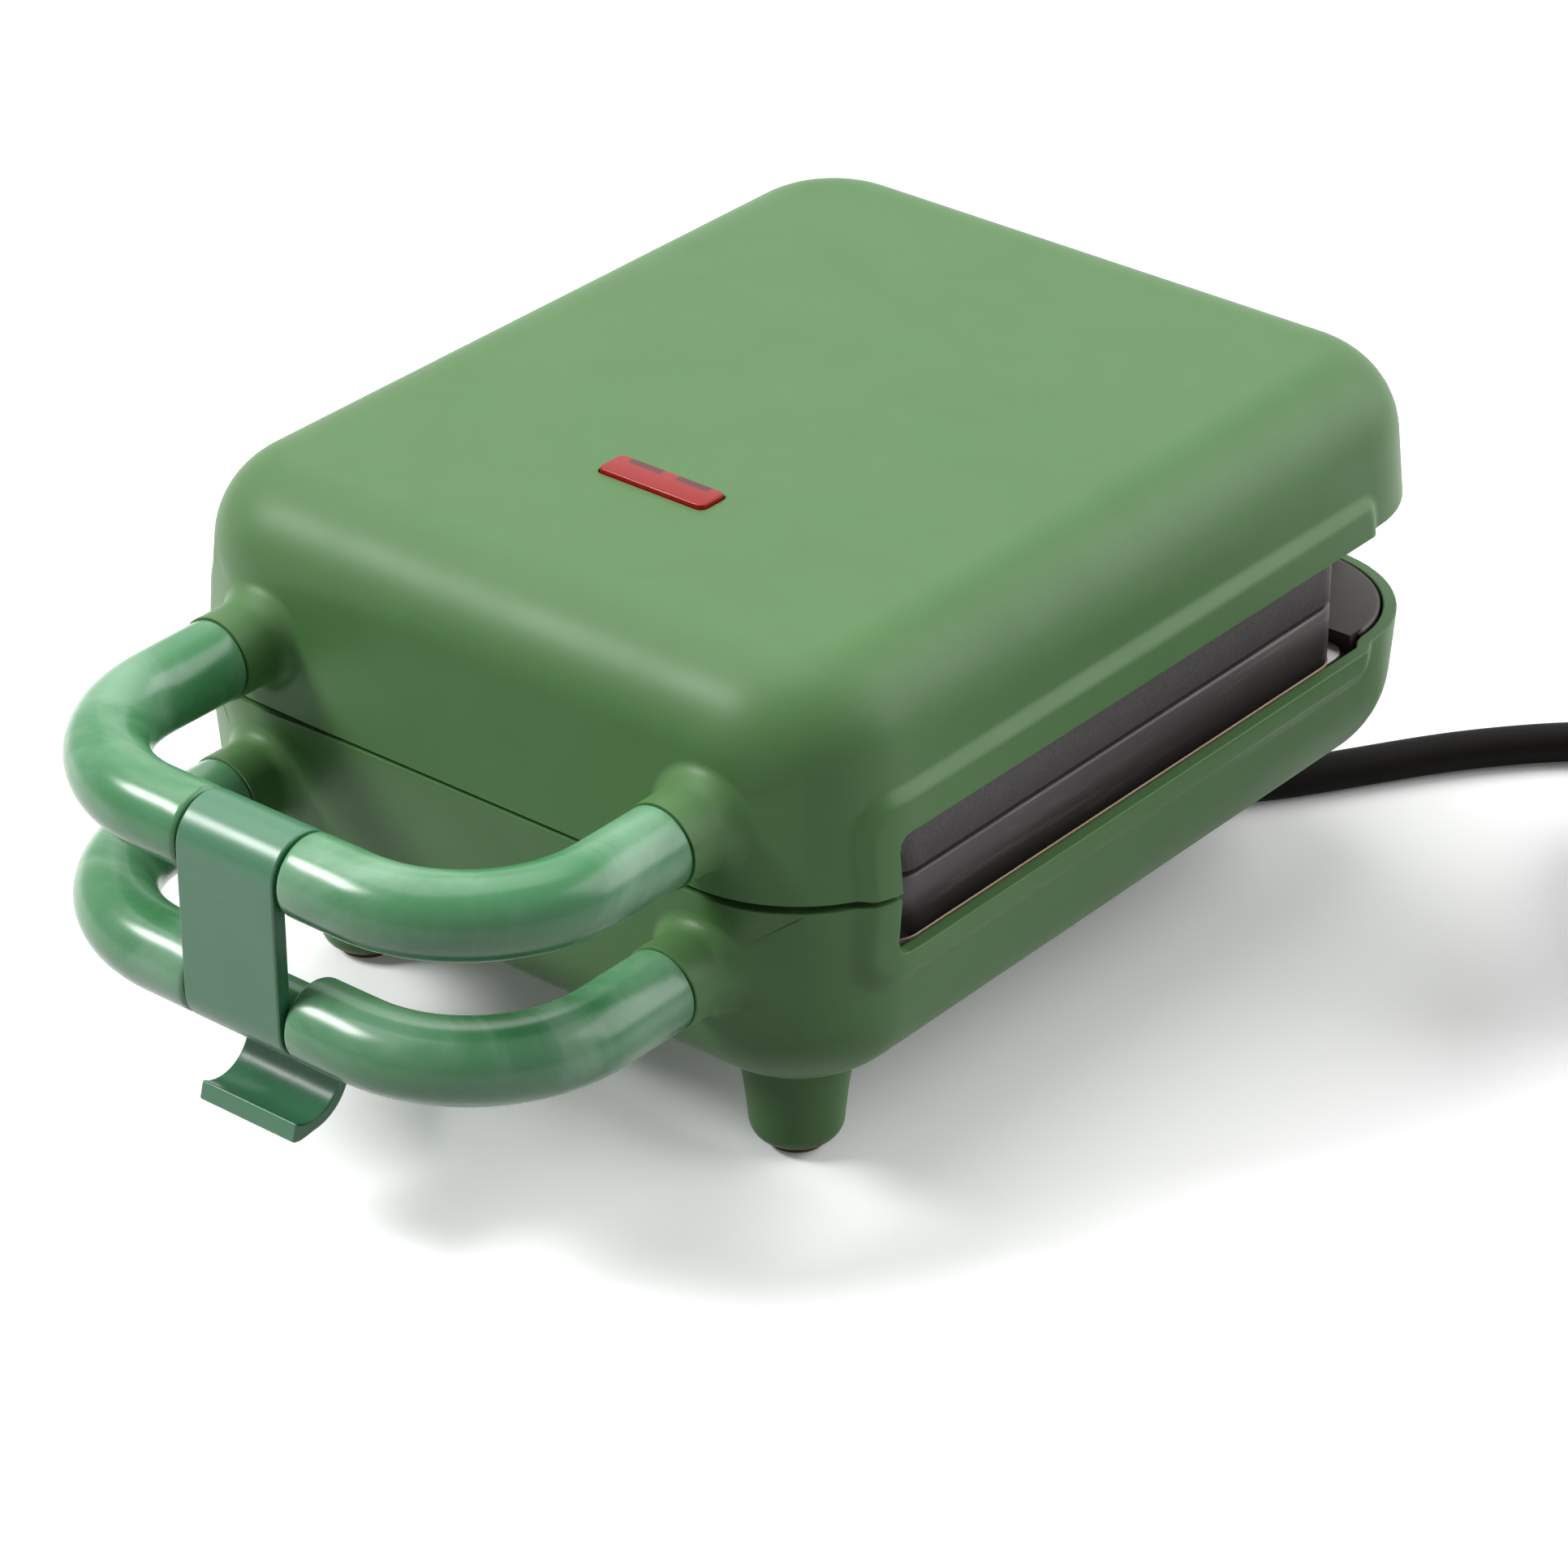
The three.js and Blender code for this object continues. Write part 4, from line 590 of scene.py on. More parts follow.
@dataclass(frozen=True)
class Finish:
    """One finish of the snack maker.

    Attributes:
        name: Name of the material.
        colour: Main colour, 0 to 255.
        second: Colour of the spots, veins or worn places; on the lens, the painted shadow of its
            lamps.
        roughness: Roughness of the surface.
        metallic: How metallic it is.
        grain: How the surface is broken up, or, on the lens, where painted lamp shadows lie.
        scale: Number of features in a metre.
        share: Strength of the second colour.
        bump: Depth of the texture in millimetres.
        specular: Specular level.
        clear: How much light passes through.
    """

    name: str
    colour: tuple[int, int, int]
    second: tuple[int, int, int]
    roughness: float
    metallic: float = 0.0
    grain: Grain = Grain.SPECKLED
    scale: float = 600.0
    share: float = 0.5
    bump: float = 0.02
    specular: float = 0.5
    clear: float = 0.0

    def build(self) -> Paint:
        """Builds the node material.

        Returns:
            The material.
        """
        material = bpy.data.materials.new(self.name)
        material.use_nodes = True
        wires = Wiring(material.node_tree)
        shader = material.node_tree.nodes["Principled BSDF"]
        shader.inputs["Metallic"].default_value = self.metallic
        shader.inputs["Specular IOR Level"].default_value = self.specular
        shader.inputs["Transmission Weight"].default_value = self.clear
        places = wires.add("ShaderNodeTexCoord").outputs["Object"]
        mix = wires.add("ShaderNodeMix", {MIX_FIRST: linear(*self.colour),
                                          MIX_SECOND: linear(*self.second)}, data_type="RGBA")
        gloss = wires.add("ShaderNodeMapRange", {"To Min": max(self.roughness - SMOOTHER, 0.02),
                                                 "To Max": min(self.roughness + ROUGHER, 1.0)})
        bump = wires.add("ShaderNodeBump", {"Distance": self.bump * MM, "Strength": 1.0})
        wires.link((self._pattern(wires, places), mix.inputs[0]),
                   (mix.outputs[MIX_RESULT], shader.inputs["Base Color"]),
                   (self._noise(wires, places, GLOSS), gloss.inputs["Value"]),
                   (gloss.outputs["Result"], shader.inputs["Roughness"]),
                   (self._noise(wires, places, BUMP), bump.inputs["Height"]),
                   (bump.outputs["Normal"], shader.inputs["Normal"]))
        return material

    def _noise(self, wires: Wiring, places: Socket, texture: Texture) -> Socket:
        """Adds a noise texture.

        Args:
            wires: Wiring of the material.
            places: Coordinates.
            texture: What the noise is like.

        Returns:
            The noise's value socket.
        """
        mapping = wires.add("ShaderNodeMapping", {"Scale": texture.stretch})
        noise = wires.add("ShaderNodeTexNoise", {
            "Scale": self.scale * texture.scale, "Detail": texture.detail,
            "Roughness": texture.rough, "Distortion": texture.folds})
        wires.link((places, mapping.inputs["Vector"]),
                   (mapping.outputs["Vector"], noise.inputs["Vector"]))
        return noise.outputs["Fac"]

    def _steps(self, wires: Wiring, value: Socket, low: float, high: float, top: float) -> Socket:
        """Maps a value from low..high to 0..top, eased at both ends.

        Args:
            wires: Wiring of the material.
            value: The value.
            low: Value that gives 0.
            high: Value that gives the top.
            top: Highest result.

        Returns:
            The result's socket.
        """
        node = wires.add("ShaderNodeMapRange", {"From Min": low, "From Max": high, "To Max": top},
                         interpolation_type="SMOOTHSTEP")
        wires.link((value, node.inputs["Value"]))
        return node.outputs["Result"]

    def _painted_lamp_shadows(self, wires: Wiring, places: Socket) -> Socket:
        """Builds the mask of the painted shadows of the two lamps that show in the rear half of the
        lens.

        Args:
            wires: Wiring of the material.
            places: Coordinates.

        Returns:
            The mask's socket.
        """
        apart = wires.add("ShaderNodeSeparateXYZ")
        wires.link((places, apart.inputs[0]))
        x = wires.maths("ABSOLUTE", apart.outputs["X"])
        limits = ((x, LAMP_SHADOW_INNER_X), (x, LAMP_SHADOW_OUTER_X), (apart.outputs["Y"], LAMP_SHADOW_FRONT_Y),
                  (apart.outputs["Z"], LENS_SKIN_Z))
        mask, *others = [self._steps(wires, value, low * MM, high * MM, 1.0)
                         for value, (low, high) in limits]
        for step in others:
            mask = wires.maths("MULTIPLY", mask, step)
        return wires.maths("MULTIPLY", mask, self.share)

    def _pattern(self, wires: Wiring, places: Socket) -> Socket:
        """Builds the mask between the two colours.

        Args:
            wires: Wiring of the material.
            places: Coordinates.

        Returns:
            The mask's socket, 0 for the main colour.
        """
        # The lens gets painted shadows of its lamps instead of a grain.
        if self.grain is Grain.LIT:
            return self._painted_lamp_shadows(wires, places)
        texture = GRAINS[self.grain]
        noise = self._noise(wires, places, texture)
        return self._steps(wires, noise, texture.low, texture.high, self.share)


HOUSING = Finish("housing_green", (81, 121, 71), (77, 116, 67), 0.45, scale=900, bump=0.004,
                 specular=0.32)
HANDLE = Finish("handle_marbled_green", (67, 135, 85), (126, 173, 138), 0.22,
                grain=Grain.MARBLED, scale=30, share=0.8, bump=0.003)
CLIP = Finish("clip_green", (71, 129, 94), (65, 121, 88), 0.28, scale=700, bump=0.003)
# The lens's second colour is the painted shadow of the two lamps under it.
LENS = Finish("lens_red", (160, 10, 4), (48, 12, 12), 0.12, grain=Grain.LIT, clear=0.12,
              scale=300, share=0.75, bump=0.0, specular=0.22)
PLATE = Finish("plate_coat", (64, 60, 61), (112, 107, 106), 0.6, metallic=0.15,
               grain=Grain.BLASTED, scale=1300, share=0.45, bump=0.06)
PLATE_EDGE = Finish("plate_edge_worn", (60, 56, 57), (136, 128, 124), 0.5, metallic=0.2,
                    grain=Grain.BRUSHED, scale=420, share=0.4, bump=0.04)
DECK = Finish("deck_plastic", (58, 50, 49), (50, 43, 42), 0.48, scale=700, bump=0.006)
REFLECTOR = Finish("reflector_sheet", (205, 203, 200), (176, 173, 170), 0.32, metallic=0.85,
                   grain=Grain.BRUSHED, scale=900, bump=0.004)
# A darker, browner copy of the reflector's sheet for its rim: painted shade on the rim that shows
# below the plates.
RIM = Finish("reflector_rim_shaded", (128, 112, 90), (104, 90, 70), 0.45, metallic=0.5,
             grain=Grain.BRUSHED, scale=900, bump=0.004)
HEATER = Finish("heater_tube", (120, 116, 110), (88, 84, 78), 0.45, metallic=0.8, scale=900,
                bump=0.006)
STEEL = Finish("bright_steel", (190, 190, 190), (160, 160, 160), 0.28, metallic=1.0,
               grain=Grain.BRUSHED, scale=1200, bump=0.002)
BRASS = Finish("plated_brass", (206, 178, 112), (178, 148, 88), 0.26, metallic=1.0,
               grain=Grain.BRUSHED, scale=1200, bump=0.002)
RUBBER = Finish("pad_rubber", (138, 96, 72), (120, 82, 62), 0.85, scale=1500, specular=0.3)
LEAD = Finish("lead_black", (11, 9, 7), (16, 14, 12), 0.6, scale=900, bump=0.006, specular=0.12)
CERAMIC = Finish("ceramic", (226, 222, 212), (206, 200, 188), 0.5, scale=900, bump=0.01)
AMBER = Finish("amber_lamp", (199, 106, 44), (170, 80, 30), 0.15, clear=0.3, scale=500,
               bump=0.001)
LAMP_GREEN = Finish("green_lamp", (60, 138, 76), (44, 110, 60), 0.15, clear=0.3, scale=500,
                    bump=0.001)
BLUE = Finish("blue_sleeve", (43, 79, 154), (36, 66, 130), 0.5, scale=900, bump=0.003)
BROWN = Finish("brown_sleeve", (106, 64, 38), (88, 52, 30), 0.5, scale=900, bump=0.003)
STRIPED = Finish("striped_sleeve", (127, 154, 58), (206, 196, 60), 0.5, grain=Grain.BRUSHED,
                 scale=400, bump=0.003)
WHITE = Finish("white_sleeve", (217, 214, 204), (196, 192, 180), 0.6, scale=900, bump=0.003)


class Paints:
    """The built materials, one for each finish."""

    def __init__(self) -> None:
        """Starts with none built."""
        self.made: dict[str, Paint] = {}

    def __getitem__(self, finish: Finish) -> Paint:
        """Gives a finish's material.

        Args:
            finish: The finish.

        Returns:
            Its material, built once.
        """
        if finish.name not in self.made:
            self.made[finish.name] = finish.build()
        return self.made[finish.name]


# ---------------------------------------------------------------- geometry node trees


class PieceTree:
    """A geometry node tree that ends in real mesh with a material."""

    def __init__(self, name: str, inputs: dict[str, str]) -> None:
        """Starts the tree with its named inputs.

        Args:
            name: Name of the tree.
            inputs: Socket type of each input besides the geometry and the material.
        """
        self.name = name
        self.tree = bpy.data.node_groups.new(name, "GeometryNodeTree")
        self.wires = Wiring(self.tree)
        self.marks: dict[str, str] = {}
        sockets = {"Geometry": "NodeSocketGeometry", **inputs, "Material": "NodeSocketMaterial"}
        new_socket = self.tree.interface.new_socket
        for label, kind in sockets.items():
            self.marks[label] = new_socket(name=label, in_out="INPUT", socket_type=kind).identifier
        new_socket(name="Geometry", in_out="OUTPUT", socket_type=sockets["Geometry"])
        self.start = self.wires.add("NodeGroupInput").outputs

    def attribute(self, name: str, kind: str) -> Socket:
        """Adds a value that is read from the points."""
        node = self.wires.add("GeometryNodeInputNamedAttribute", {"Name": name}, data_type=kind)
        return node.outputs["Attribute"]

    def close(self, geometry: Socket) -> None:
        """Realizes the geometry, gives it its material and ends the tree.

        Args:
            geometry: The finished geometry's socket.
        """
        real = self.wires.add("GeometryNodeRealizeInstances")
        paint = self.wires.add("GeometryNodeSetMaterial")
        end = self.wires.add("NodeGroupOutput")
        self.wires.link((geometry, real.inputs["Geometry"]),
                        (real.outputs["Geometry"], paint.inputs["Geometry"]),
                        (self.start["Material"], paint.inputs["Material"]),
                        (paint.outputs["Geometry"], end.inputs["Geometry"]))

    def applied(self, obj: Obj, values: dict[str, Any]) -> Obj:
        """Runs the tree on an object.

        Args:
            obj: Object of points or edges.
            values: Value of each named input.

        Returns:
            The same object as plain mesh.
        """
        step = obj.modifiers.new(self.name, "NODES")
        step.node_group = self.tree
        for label, value in values.items():
            step[self.marks[label]] = value
        settle(obj)
        if not obj.data.materials:
            obj.data.materials.append(values["Material"])
        return obj


class StrandTree(PieceTree):
    """Carries a round section along a path, with its radius from the path's girth."""

    def __init__(self) -> None:
        """Builds the tree."""
        super().__init__("strand", {"Sides": "NodeSocketInt"})
        add = self.wires.add
        curve = add("GeometryNodeMeshToCurve")
        ring = add("GeometryNodeCurvePrimitiveCircle", {"Radius": 1.0})
        sweep = add("GeometryNodeCurveToMesh", {"Fill Caps": True})
        smooth = add("GeometryNodeSetShadeSmooth")
        self.wires.link((self.start["Geometry"], curve.inputs["Mesh"]),
                        (self.start["Sides"], ring.inputs["Resolution"]),
                        (curve.outputs["Curve"], sweep.inputs["Curve"]),
                        (ring.outputs["Curve"], sweep.inputs["Profile Curve"]),
                        (self.attribute("girth", "FLOAT"), sweep.inputs["Scale"]),
                        (sweep.outputs["Mesh"], smooth.inputs["Geometry"]))
        self.close(smooth.outputs["Geometry"])

    def along(self, name: str, path: Iterable[Sequence[float]], girths: Sequence[float],
              sides: int, paint: Paint) -> Obj:
        """Makes a tube along a path.

        Args:
            name: Name of the piece.
            path: Points in own millimetres.
            girths: Radius at each point in millimetres.
            sides: Sides of the section.
            paint: Material.

        Returns:
            The piece as plain mesh.
        """
        points = list(path)
        obj = mesh_object(name, points, (), edges=[(k, k + 1) for k in range(len(points) - 1)])
        girth = obj.data.attributes.new("girth", "FLOAT", "POINT")
        girth.data.foreach_set("value", [g * MM for g in girths])
        return outward(self.applied(obj, {"Sides": sides, "Material": paint}))


class RepeatTree(PieceTree):
    """Puts the same small piece at every point, turned as the points say."""

    def __init__(self) -> None:
        """Builds the tree."""
        super().__init__("repeat", {"Piece": "NodeSocketObject"})
        piece = self.wires.add("GeometryNodeObjectInfo")
        spread = self.wires.add("GeometryNodeInstanceOnPoints")
        self.wires.link((self.start["Geometry"], spread.inputs["Points"]),
                        (self.start["Piece"], piece.inputs["Object"]),
                        (piece.outputs["Geometry"], spread.inputs["Instance"]),
                        (self.attribute("turn", "FLOAT_VECTOR"), spread.inputs["Rotation"]))
        self.close(spread.outputs["Instances"])

    def at(self, name: str, piece: Obj, places: Sequence[Point], turns: Sequence[Point],
           paint: Paint) -> Obj:
        """Repeats a piece at the given places.

        Args:
            name: Name of the result.
            piece: Small object at the origin, which the caller deletes afterwards.
            places: Places in own millimetres.
            turns: Turn of each copy about x, y and z.
            paint: Material.

        Returns:
            The repeated piece as plain mesh.
        """
        obj = mesh_object(name, places, ())
        turn = obj.data.attributes.new("turn", "FLOAT_VECTOR", "POINT")
        turn.data.foreach_set("vector", [value for three in turns for value in three])
        return self.applied(obj, {"Piece": piece, "Material": paint})


def small_piece(name: str, shape: Shape) -> Obj:
    """Makes a small helper piece round the origin, without the frame's shift."""
    points, faces = shape
    return solid(name, ([(x, y - SHIFT_Y, z) for x, y, z in points], faces))


# ---------------------------------------------------------------- housing


class Run(Enum):
    """Part of the plan's outline that a station lies on, and what the station's value means."""

    FRONT = "front wall, by x"
    CORNER = "front corner, by its angle in degrees"
    JAMB = "front corner of the side window, by y"
    SIDE = "side wall, by y"
    REAR_CORNER = "rear corner, by its angle in degrees"
    REAR = "rear wall, by x"


Station = tuple[Run, float]
# Stations of the outline. The collar's field is from number FIELD_FIRST to the last of
# FIELD_DEGREES.
FRONT_X = (0, 8, 16, 23, 27, 29.5, 32, 34.5, 37, 39.5, 41.5)
FIELD_FIRST = 5
FIELD_DEGREES = (0, 6, 12, 18, 24, 30, 36, 40)
CORNER_DEGREES = (44, 47.5, *range(50, 77, 2))
SIDE_Y = (-58, -50, -40, -30, -20, -10, 0, 10, 20, 30, 40, 46, 50, 52, 53, 53.8, 54.6, 55.4, 56.2,
          57, 58)
REAR_DEGREES = range(6, 91, 6)
REAR_X = (36, 28, 20, 10, 0)
# Levels between the rim and the window's corner, the spacing of those below and above the
# step, and how many the step and the fillet have. The collar has rings instead.
RIM_LEVELS = (1.6, 3.2, 4.8, 6.0)
BAND_SPACING, FLANK_SPACING = 1.0, 1.3
STEP_LEVELS, FILLET_LEVELS, COLLAR_RINGS = 8, 16, 13
# The rim's extra gap: where it starts, and its share of the way at the corner and at the jamb.
RIM_OPENS_X, CORNER_STARTS, JAMB_SHARE = 30.0, 0.18, 0.94
# Size of the flat face's inner part as a share of the whole.
INNER_CROWN = 0.93


@dataclass
class Half:
    """One half of the housing, and the smooth skin that is built for it.

    A place on the skin is away from the parting plane: upwards for the lid, down for the base.

    Attributes:
        name: Name of the shell.
        body: Body that it rides on.
        level: Word for its handle and its plate.
        side: +1 for the lid and -1 for the base.
        height: Depth of the half from the parting plane.
        fillet: Radius of its edge round the flat face.
        draft: Draft of the walls in degrees.
        reach: How far away the side window ends.
        band: Width of the raised band round the window.
        blend: Width of the band's soft step.
        collar_away: How far away the handle's axis is.
        half_x: Half of the housing's width.
        half_y: Half of its depth.
        corner: Radius of its corners, seen from above.
        parting: Height of the parting plane.
        gap: How far away the rim is.
        corner_gap: How much further the rim is at the front corner.
        wall: Thickness of the wall.
        proud: Height of the raised band.
        jamb: Where the side window starts, as y.
        post: Where the raised band starts, as y.
        band_end: Where the raised band ends, as y.
        band_corners: Radius of the band's front and rear corner.
        window_corner: Radius of the window's corners.
        handle_x: Distance of each collar from the middle.
        mouth_y: Where the collar ends.
        straight: Length of the collar's straight end.
        mouth_radius: Radius of that end.
        root_radius: Radius at which the collar has run into the wall.
        arc_steps: Steps of the window's corner.
    """

    name: str
    body: str
    level: str
    side: int
    height: float
    fillet: float
    draft: float
    reach: float
    band: float
    blend: float
    collar_away: float
    half_x: float = 65.5
    half_y: float = 80.0
    corner: float = 22.0
    parting: float = 52.6
    gap: float = 0.4
    corner_gap: float = 0.3
    wall: float = 2.2
    proud: float = 1.5
    jamb: float = -62.5
    post: float = -67.4
    band_end: float = 56.0
    band_corners: Flat = (6.0, 2.8)
    window_corner: float = 2.5
    handle_x: float = 42.85
    mouth_y: float = -87.7
    straight: float = 5.4
    mouth_radius: float = 6.7
    root_radius: float = 9.2
    arc_steps: int = 3

    @property
    def flank(self) -> float:
        """Where the fillet round the flat face starts."""
        return self.height - self.fillet + self.fillet * math.sin(math.radians(self.draft))

    @property
    def crest(self) -> float:
        """Where the raised band ends above the window."""
        return self.reach + self.band

    def z(self, away: float) -> float:
        """Height of a distance from the parting plane."""
        return self.parting + self.side * away

    def inset(self, away: float) -> float:
        """Tells how far the wall has drawn in.

        Args:
            away: Distance from the parting plane.

        Returns:
            Distance from where the wall stands at the parting plane.
        """
        draft = math.radians(self.draft)
        if away <= self.flank:
            return away * math.tan(draft)
        rise = min((away - self.height + self.fillet) / self.fillet, 1.0)
        bow = math.cos(draft) - math.sqrt(max(1 - rise ** 2, 0.0))
        return self.flank * math.tan(draft) + self.fillet * bow

    def raised(self, y: float, away: float) -> float:
        """Tells how far the band stands proud at a place on the side wall.

        Args:
            y: Place along the body.
            away: Distance from the parting plane.

        Returns:
            Height of the band there.
        """
        front, rear, top = y - self.post, self.band_end - y, self.crest - away
        corner = self.band_corners[0 if front < rear else 1]
        along, up = corner - min(front, rear), corner - top
        if along > 0 and up > 0:
            inside = corner - math.hypot(along, up)
        else:
            inside = min(front, rear, top)
        return self.proud * eased(inside / self.blend + 0.5)

    def wall_y(self, x: float, away: float) -> float:
        """Tells where the front wall stands.

        Args:
            x: Place across the body.
            away: Distance from the parting plane.

        Returns:
            The wall's y.
        """
        corner = self.corner - self.inset(away)
        over = max(abs(x) - self.half_x + self.corner, 0.0)
        return -self.half_y + self.corner - math.sqrt(max(corner ** 2 - over ** 2, 0.0))

    def flared(self, x: float, away: float) -> float:
        """Tells where the front wall or the handle's collar stands, whichever is there.

        Args:
            x: Place across the body.
            away: Distance from the parting plane.

        Returns:
            The surface's y.
        """
        radius = math.hypot(x - self.handle_x, away - self.collar_away)
        wall = self.wall_y(x, away)
        if radius >= self.root_radius:
            return wall
        start = self.mouth_y + self.straight
        spread = (radius - self.mouth_radius) / (self.root_radius - self.mouth_radius)
        share = min(max(1 - spread, 0.0), 1.0)
        return start + (wall - start) * math.sqrt(max(1 - share ** 2, 0.0))

    def columns(self) -> tuple[list[Station], int, int]:
        """Lists the stations round the right half of the plan, from the front to the rear.

        Returns:
            The stations, the last one of the collar's field, and the one at the jamb.
        """
        stations = [(Run.FRONT, x) for x in FRONT_X]
        stations += [(Run.CORNER, turn) for turn in FIELD_DEGREES]
        last = len(stations) - 1
        stations += [(Run.CORNER, turn) for turn in CORNER_DEGREES]
        jamb = len(stations)
        stations += [(Run.JAMB, self.jamb + self.window_corner * (1 - cosine))
                     for _, cosine in quarter(self.arc_steps)]
        stations += [(Run.SIDE, y) for y in SIDE_Y]
        stations += [(Run.REAR_CORNER, turn) for turn in REAR_DEGREES]
        stations += [(Run.REAR, x) for x in REAR_X]
        return stations, last, jamb

    def opening(self, run: Run, value: float) -> float:
        """Tells how far the extra gap of the front corner is open.

        Args:
            run: The station's part of the outline.
            value: Its place or angle there.

        Returns:
            A number from 0 to 1.
        """
        front = max(value - RIM_OPENS_X, 0.0) / (FRONT_X[-1] - RIM_OPENS_X)
        along = {Run.FRONT: CORNER_STARTS * front, Run.CORNER: CORNER_STARTS + value / 100,
                 Run.JAMB: JAMB_SHARE}
        return math.sin(math.pi * along[run]) if run in along else 0.0

    def place(self, run: Run, value: float, away: float) -> Point:
        """Gives the skin's place at a station and level.

        Args:
            run: The station's part of the outline.
            value: Its place or angle there.
            away: Distance from the parting plane.

        Returns:
            The place in own millimetres.
        """
        if away == self.gap:
            away += self.corner_gap * self.opening(run, value)
        inset, z = self.inset(away), self.z(away)
        corner, turn = self.corner - inset, math.radians(value)
        flat_x, flat_y = self.half_x - self.corner, self.half_y - self.corner
        if run is Run.FRONT:
            return value, self.flared(value, away), z
        if run is Run.CORNER:
            corner += self.raised(-flat_y - corner * math.cos(turn), away)
            x, y = flat_x + corner * math.sin(turn), -flat_y - corner * math.cos(turn)
            return x, self.flared(x, away) if value <= FIELD_DEGREES[-1] else y, z
        if run is Run.JAMB:
            level = min(away, self.crest + self.blend / 2)
            turn = math.acos((-value - flat_y) / (self.corner - self.inset(level)))
            y = -flat_y - corner * math.cos(turn)
            corner += self.raised(y, away)
            return flat_x + math.sqrt(max(corner ** 2 - (y + flat_y) ** 2, 0.0)), y, z
        if run is Run.SIDE:
            return self.half_x - inset + self.raised(value, away), value, z
        if run is Run.REAR_CORNER:
            corner = max(corner, self.wall)
            return flat_x + corner * math.cos(turn), flat_y + corner * math.sin(turn), z
        return value, self.half_y - inset, z

    def list_levels(self) -> tuple[list[float], int, int]:
        """Lists the levels from the parting plane to the flat face.

        Returns:
            The levels, the one where the window's corner starts, and the top one of the
            collar's field.
        """
        low_step, high_step = self.crest - self.blend / 2, self.crest + self.blend / 2
        levels = [self.gap, *RIM_LEVELS]
        first = len(levels)
        levels += [self.reach - self.window_corner * (1 - sine)
                   for sine, _ in quarter(self.arc_steps)]
        levels += list(np.arange(self.reach + 0.8, low_step - 0.4, BAND_SPACING))
        levels += list(np.linspace(low_step, high_step, STEP_LEVELS))
        levels += list(np.arange(high_step + 1.0, self.flank - 0.6, FLANK_SPACING))
        levels.append(self.flank)
        draft = math.radians(self.draft)
        for k in range(1, FILLET_LEVELS + 1):
            turn = draft + (QUARTER - draft) * k / FILLET_LEVELS
            levels.append(self.height - self.fillet + self.fillet * math.sin(turn))
        field_end = self.collar_away + self.root_radius + 0.3
        top = next(k for k, away in enumerate(levels) if away >= field_end)
        return levels, first, top

    def surface(self) -> Shape:
        """Builds the open outer skin of the right half.

        Returns:
            Points and faces; the faces point outwards.
        """
        stations, last, jamb = self.columns()
        levels, low, top = self.list_levels()
        points = [self.place(*station, away) for station in stations for away in levels]
        rows = len(levels)
        grid = [[i * rows + j for j in range(rows)] for i in range(len(stations))]
        faces: list[Face] = []
        for i in range(len(stations) - 1):
            for j in range(rows - 1):
                if FIELD_FIRST <= i < last and j < top:
                    continue
                quad = (grid[i][j], grid[i + 1][j], grid[i + 1][j + 1], grid[i][j + 1])
                step, rise = i - jamb, j - low
                if rise < min(step, self.arc_steps) and step >= 0:
                    continue
                if step == rise and 0 <= step < self.arc_steps:
                    quad = (grid[i][j], grid[i + 1][j + 1], grid[i][j + 1])
                faces.append(quad)
        self._collar(points, faces, grid, last, top)
        self._flat_face(points, faces, [row[-1] for row in grid])
        if self.side < 0:
            faces = [tuple(reversed(face)) for face in faces]
        return points, faces

    def _collar(self, points: list[Point], faces: list[Face], grid: list[list[int]], last: int,
                top: int) -> None:
        """Fills the collar's field with rings that close in on the handle's socket.

        Args:
            points: Points so far, added to.
            faces: Faces so far, added to.
            grid: Index of each station and level.
            last: Last station of the field.
            top: Top level of the field.
        """
        loop = [grid[i][0] for i in range(FIELD_FIRST, last + 1)]
        loop += [grid[last][j] for j in range(1, top + 1)]
        loop += [grid[i][top] for i in range(last - 1, FIELD_FIRST - 1, -1)]
        loop += [grid[FIELD_FIRST][j] for j in range(top - 1, 0, -1)]
        rings = [loop]
        turns = np.radians(np.linspace(90, 0, COLLAR_RINGS))
        depths = [(1 - math.cos(turn), None) for turn in turns]
        depths += [(0.0, self.mouth_y + self.straight * 0.5), (0.0, self.mouth_y)]
        for share, y in depths:
            ring = []
            for index in loop:
                x0, _, z0 = points[index]
                dx = x0 - self.handle_x
                da = self.side * (z0 - self.parting) - self.collar_away
                length = math.hypot(dx, da)
                reach = min(self.root_radius, length)
                if da < 0:
                    room = self.collar_away - self.gap - self.corner_gap
                    reach = min(reach, room / (-da / length))
                radius = self.mouth_radius + (reach - self.mouth_radius) * share
                x = self.handle_x + dx / length * radius
                away = self.collar_away + da / length * radius
                ring.append(len(points))
                points.append((x, self.flared(x, away) if y is None else y, self.z(away)))
            rings.append(ring)
        for outer, inner in zip(rings, rings[1:]):
            for i in range(len(loop)):
                j = (i + 1) % len(loop)
                faces.append((outer[i], outer[j], inner[j], inner[i]))

    def _flat_face(self, points: list[Point], faces: list[Face], rim: list[int]) -> None:
        """Closes the flat face inside the last level.

        Args:
            points: Points so far, added to.
            faces: Faces so far, added to.
            rim: Index of each point of the last level.
        """
        start = len(points)
        points += [(points[i][0] * INNER_CROWN, points[i][1] * INNER_CROWN, points[i][2])
                   for i in rim]
        inner = range(start, len(points))
        for k in range(len(rim) - 1):
            faces.append((rim[k], rim[k + 1], inner[k + 1], inner[k]))
        faces.append(tuple(inner))

